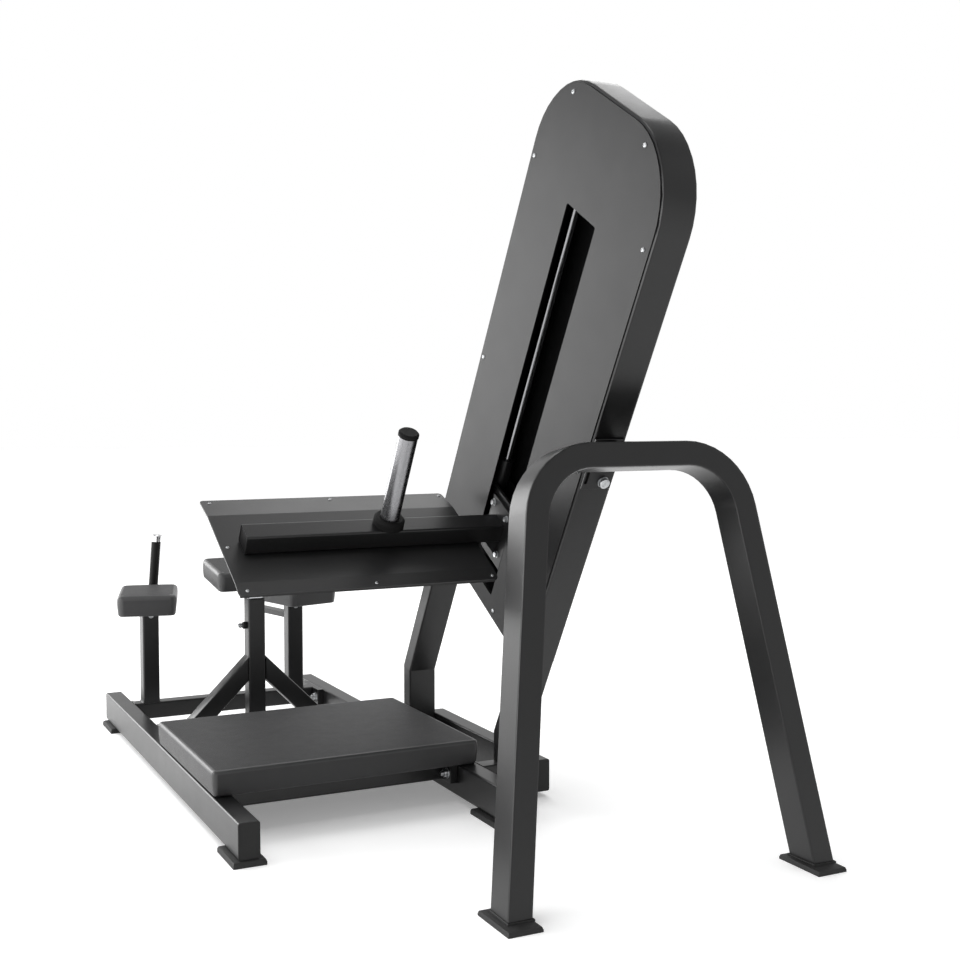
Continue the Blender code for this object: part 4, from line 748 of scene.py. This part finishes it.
FLANGE_THICKNESS = 0.020
RAIL_FLANGE_FACE = RIGHT_RAIL_INNER - GAP - FLANGE_THICKNESS
RAIL_FLANGES_Y = (0.3165, 1.3815)
RAIL_BOLT_REACH = 0.058
STUD_START = 0.0125
STUD = ((0.0062, 0.0, ROUND), (0.0062, 0.0058, ROUND), (0.0052, 0.0070, ROUND))
rail_bolts = bmesh.new()
for middle in RAIL_FLANGES_Y:
    for side in (-1, 1):
        spot = base(RAIL_FLANGE_FACE, middle + side * RAIL_BOLT_REACH, RAIL_AXIS_HEIGHT)
        turn = middle * 2 + side * 0.2
        hex_bolt(rail_bolts, spot, -X, across=0.024, height=0.0104, turn=turn)
        rings(rail_bolts, frame_of(spot - X * STUD_START, -X), STUD)
finish_mesh("rail_flange_bolts", rail_bolts, ZINC, "frame")

BRACKET_BOLT_SPOT = leaning(0.8405, 0.2394, 0.8825)
BRACKET_WASHER_RADIUS, BRACKET_WASHER_THICKNESS = 0.0150, 0.0022
BRACKET_BOLT_HEAD = (
    (0.0128, 0.0, ROUND), (0.0134, 0.0010, ROUND), (0.0134, 0.0070, ROUND),
    (0.0126, 0.0092, ROUND), (0.0100, 0.0104, ROUND), (0.0070, 0.0104, ROUND),
    (0.0062, 0.0098, ROUND), (0.0020, 0.0096, ROUND),
)
bracket_bolt = bmesh.new()
turned_piece(
    bracket_bolt, frame_of(BRACKET_BOLT_SPOT, -ACROSS),
    BRACKET_WASHER_RADIUS, BRACKET_WASHER_THICKNESS, WASHER,
)
on_washer = BRACKET_BOLT_SPOT - ACROSS * BRACKET_WASHER_THICKNESS
rings(bracket_bolt, frame_of(on_washer, -ACROSS), BRACKET_BOLT_HEAD)
finish_mesh("bracket_bolt", bracket_bolt, ZINC, "frame")

POST_FACE_Y = 1.3547
POST_BOLT_HEIGHT = 0.3855
post_bolts = bmesh.new()
for x in ELBOW_POSTS_X:
    spot = base(x, POST_FACE_Y, POST_BOLT_HEIGHT)
    hex_bolt(post_bolts, spot, -Y, across=0.013, height=0.006, turn=x * 3)
finish_mesh("elbow_post_bolts", post_bolts, ZINC, "frame")


# ---------------------------------------------------------------- lips of the shoes

# How far the arch's legs move outwards and backwards for each metre down.
ARCH_SPLAY = 0.1435
ARCH_LEAN = math.tan(math.radians(10.2))
ARCH_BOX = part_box("rear_arch")
ARCH_MIDDLE = (ARCH_BOX[0][0] + ARCH_BOX[1][0]) / 2
SHOE_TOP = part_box("arch_left_foot")[1][2]
LEG_END_HEIGHT = 0.03
LIP_PROFILE = (
    (0.0042, -0.0006), (0.0042, 0.0028), (0.00336, 0.0040),
    (0.0020, 0.0040), (0.0012, 0.0032), (0.0012, -0.0006),
)


def leg_end(side):
    """The corners and the middle of a leg's section, carried along the leg to its shoe's top."""
    points = [vertex.co.copy() for vertex in NODES["rear_arch"].data.vertices]
    points = [point for point in points if (point.x - ARCH_MIDDLE) * side > 0]
    bottom = min(point.z for point in points)
    ends = [point for point in points if point.z < bottom + LEG_END_HEIGHT]
    for point in ends:
        rise = point.z - SHOE_TOP
        point.x += side * ARCH_SPLAY * rise
        point.y -= ARCH_LEAN * rise
        point.z = SHOE_TOP
    middle = sum(ends, Vector()) / len(ends)
    corners = [
        max(ends, key=lambda point: sx * (point.x - middle.x) + sy * (point.y - middle.y))
        for sx, sy in ((-1, -1), (1, -1), (1, 1), (-1, 1))
    ]
    return corners, middle


def lip(shape, side):
    """A raised rim of rubber round a leg's lower end, leaning with the leg."""
    corners, middle = leg_end(side)
    loops = []
    for spread, level in LIP_PROFILE:
        loop = []
        lean = Vector((-side * ARCH_SPLAY * level, ARCH_LEAN * level, level))
        for corner in corners:
            away_x = math.copysign(spread, corner.x - middle.x)
            away_y = math.copysign(spread, corner.y - middle.y)
            loop.append(shape.verts.new(corner + Vector((away_x, away_y, 0.0)) + lean))
        loops.append(loop)
    for low, high in zip(loops, loops[1:] + loops[:1]):
        for i in range(4):
            j = (i + 1) % 4
            shape.faces.new((low[i], low[j], high[j], high[i]))


lips = bmesh.new()
for side in (-1, 1):
    lip(lips, side)
finish_mesh("shoe_lips", lips, RUBBER, "frame", smooth=30.0)


# ---------------------------------------------------------------- weld beads

welds = bmesh.new()
for y in CROSS_MEMBERS_Y:
    spot = base(LEFT_RAIL_INNER, y + TUBE_HALF, RAIL_AXIS_HEIGHT)
    bead(welds, tube_outline(spot, Y, Z), seed=y)
spot = base(RIGHT_RAIL_INNER - GAP, CENTRE_POST_Y, RAIL_AXIS_HEIGHT)
bead(welds, tube_outline(spot, Y, Z), seed=9.0)
for x in ELBOW_POSTS_X:
    spot = base(x, ELBOW_POST_Y, CROSS_MEMBER_TOP)
    bead(welds, tube_outline(spot, X, Y), seed=x)
spot = base(CENTRE_X, CENTRE_POST_Y, CROSS_MEMBER_TOP)
bead(welds, tube_outline(spot, X, Y), seed=3.0)
finish_mesh("weld_beads", welds, PAINT, "frame", smooth=80.0)


# ---------------------------------------------------------------- studio

WHITE = (1.0, 1.0, 1.0, 1.0)
FOCAL_LENGTH = 50.19
SENSOR_WIDTH = 36.0
CAMERA_SPOT = base(-0.85096, -2.9832, 1.06744)
CAMERA_AZIMUTH = 26.35
CAMERA_DIP = 3.19


def camera():
    data = bpy.data.cameras.new("camera")
    data.lens = FOCAL_LENGTH
    data.sensor_width = SENSOR_WIDTH
    data.clip_start = 0.05
    data.clip_end = 60.0
    made = bpy.data.objects.new("camera", data)
    made.location = CAMERA_SPOT
    pitch, turn = math.radians(90.0 - CAMERA_DIP), math.radians(-CAMERA_AZIMUTH)
    made.rotation_euler = Euler((pitch, 0.0, turn))
    bpy.context.scene.collection.objects.link(made)
    bpy.context.scene.camera = made


def area(name, at, towards, width, height, power, visible_in_gloss=True):
    data = bpy.data.lights.new(name, "AREA")
    data.shape = "RECTANGLE"
    data.size = width
    data.size_y = height
    data.energy = power
    lamp = bpy.data.objects.new(name, data)
    lamp.location = at
    lamp.rotation_euler = (towards - at).to_track_quat("-Z", "Y").to_euler()
    lamp.visible_camera = False
    lamp.visible_glossy = visible_in_gloss
    bpy.context.scene.collection.objects.link(lamp)


def sun(name, comes_from, strength, spread):
    data = bpy.data.lights.new(name, "SUN")
    data.energy = strength
    data.angle = math.radians(spread)
    lamp = bpy.data.objects.new(name, data)
    lamp.rotation_euler = Vector(comes_from).to_track_quat("Z", "Y").to_euler()
    lamp.visible_glossy = False
    bpy.context.scene.collection.objects.link(lamp)


FILL_STRENGTH = 0.35
# How far up a direction points, and how bright the sky is there.
SKY_DIMMING = (("From Min", 0.55), ("From Max", 0.95), ("To Min", 1.0), ("To Max", 0.35))


def world():
    """White for the camera, a soft fill, and in reflections a sky that dims towards its top."""
    made = bpy.data.worlds.new("studio")
    bpy.context.scene.world = made
    made.use_nodes = True
    nodes, links = made.node_tree.nodes, made.node_tree.links
    nodes.clear()
    out = nodes.new("ShaderNodeOutputWorld")
    fill = nodes.new("ShaderNodeBackground")
    backdrop = nodes.new("ShaderNodeBackground")
    sky = nodes.new("ShaderNodeBackground")
    path = nodes.new("ShaderNodeLightPath")
    fill.inputs["Color"].default_value = WHITE
    fill.inputs["Strength"].default_value = FILL_STRENGTH
    backdrop.inputs["Color"].default_value = WHITE
    backdrop.inputs["Strength"].default_value = 1.0
    coords = nodes.new("ShaderNodeTexCoord")
    upward = nodes.new("ShaderNodeVectorMath")
    upward.operation = "DOT_PRODUCT"
    upward.inputs[1].default_value = (0.0, 0.0, 1.0)
    links.new(coords.outputs["Generated"], upward.inputs[0])
    dimmed = nodes.new("ShaderNodeMapRange")
    dimmed.interpolation_type = "SMOOTHSTEP"
    for key, value in SKY_DIMMING:
        dimmed.inputs[key].default_value = value
    links.new(upward.outputs["Value"], dimmed.inputs["Value"])
    links.new(dimmed.outputs["Result"], sky.inputs["Strength"])
    for_surfaces = nodes.new("ShaderNodeMixShader")
    links.new(path.outputs["Is Glossy Ray"], for_surfaces.inputs["Fac"])
    links.new(fill.outputs[0], for_surfaces.inputs[1])
    links.new(sky.outputs[0], for_surfaces.inputs[2])
    mix = nodes.new("ShaderNodeMixShader")
    links.new(path.outputs["Is Camera Ray"], mix.inputs["Fac"])
    links.new(for_surfaces.outputs[0], mix.inputs[1])
    links.new(backdrop.outputs[0], mix.inputs[2])
    links.new(mix.outputs[0], out.inputs["Surface"])


FLOOR_HALF = 30.0
GLOW_DISTANCES = (1.5, 3.6)
GLOW_STRENGTHS = (0.24, 0.52)


def floor():
    """A pale floor that grows into the white background away from the machine."""
    shape = bmesh.new()
    bmesh.ops.create_grid(shape, x_segments=1, y_segments=1, size=FLOOR_HALF)
    mesh = bpy.data.meshes.new("floor")
    shape.to_mesh(mesh)
    shape.free()
    made = bpy.data.objects.new("floor", mesh)
    bpy.context.scene.collection.objects.link(made)
    n = Nodes("studio_floor")
    path = n.add("ShaderNodeLightPath")
    seen = n.maths("MAXIMUM", path.outputs["Is Camera Ray"], path.outputs["Is Glossy Ray"])
    seen = n.maths("MAXIMUM", seen, path.outputs["Is Transmission Ray"])
    distance = n.add("ShaderNodeVectorMath", operation="LENGTH")
    n.link(n.place, distance.inputs[0])
    glow = n.spread(distance.outputs["Value"], GLOW_DISTANCES, GLOW_STRENGTHS)
    n.set(
        Base_Color=n.tint(n.noise(0.8, detail=2.0), (0.975,) * 3, (0.985,) * 3),
        Roughness=0.8,
        Specular_IOR_Level=0.1,
        Emission_Color=WHITE,
        Emission_Strength=n.maths("MULTIPLY", seen, glow),
    )
    mesh.materials.append(n.material)


camera()
world()
floor()
area(
    "key", at=base(-1.9, 4.6, 1.7), towards=base(0.4, 0.6, 0.7),
    width=3.0, height=2.6, power=120.0,
)
area(
    "left", at=base(-3.4, 0.9, 1.3), towards=base(0.4, 0.6, 0.7),
    width=2.6, height=2.2, power=76.0,
)
area(
    "high", at=base(2.1, 2.7, 3.5), towards=base(0.4, 0.5, 0.9),
    width=2.4, height=1.6, power=26.0,
)
area(
    "over", at=base(0.4, 0.7, 3.8), towards=base(0.4, 0.6, 0.0),
    width=3.4, height=3.4, power=56.0, visible_in_gloss=False,
)
area(
    "edges", at=base(0.4, -0.4, 3.8), towards=base(0.4, 0.5, 0.2),
    width=2.6, height=1.0, power=20.0,
)
sun("top", comes_from=(-0.15, 0.35, 1.0), strength=0.61, spread=50.0)
bpy.context.scene.view_settings.view_transform = "Standard"
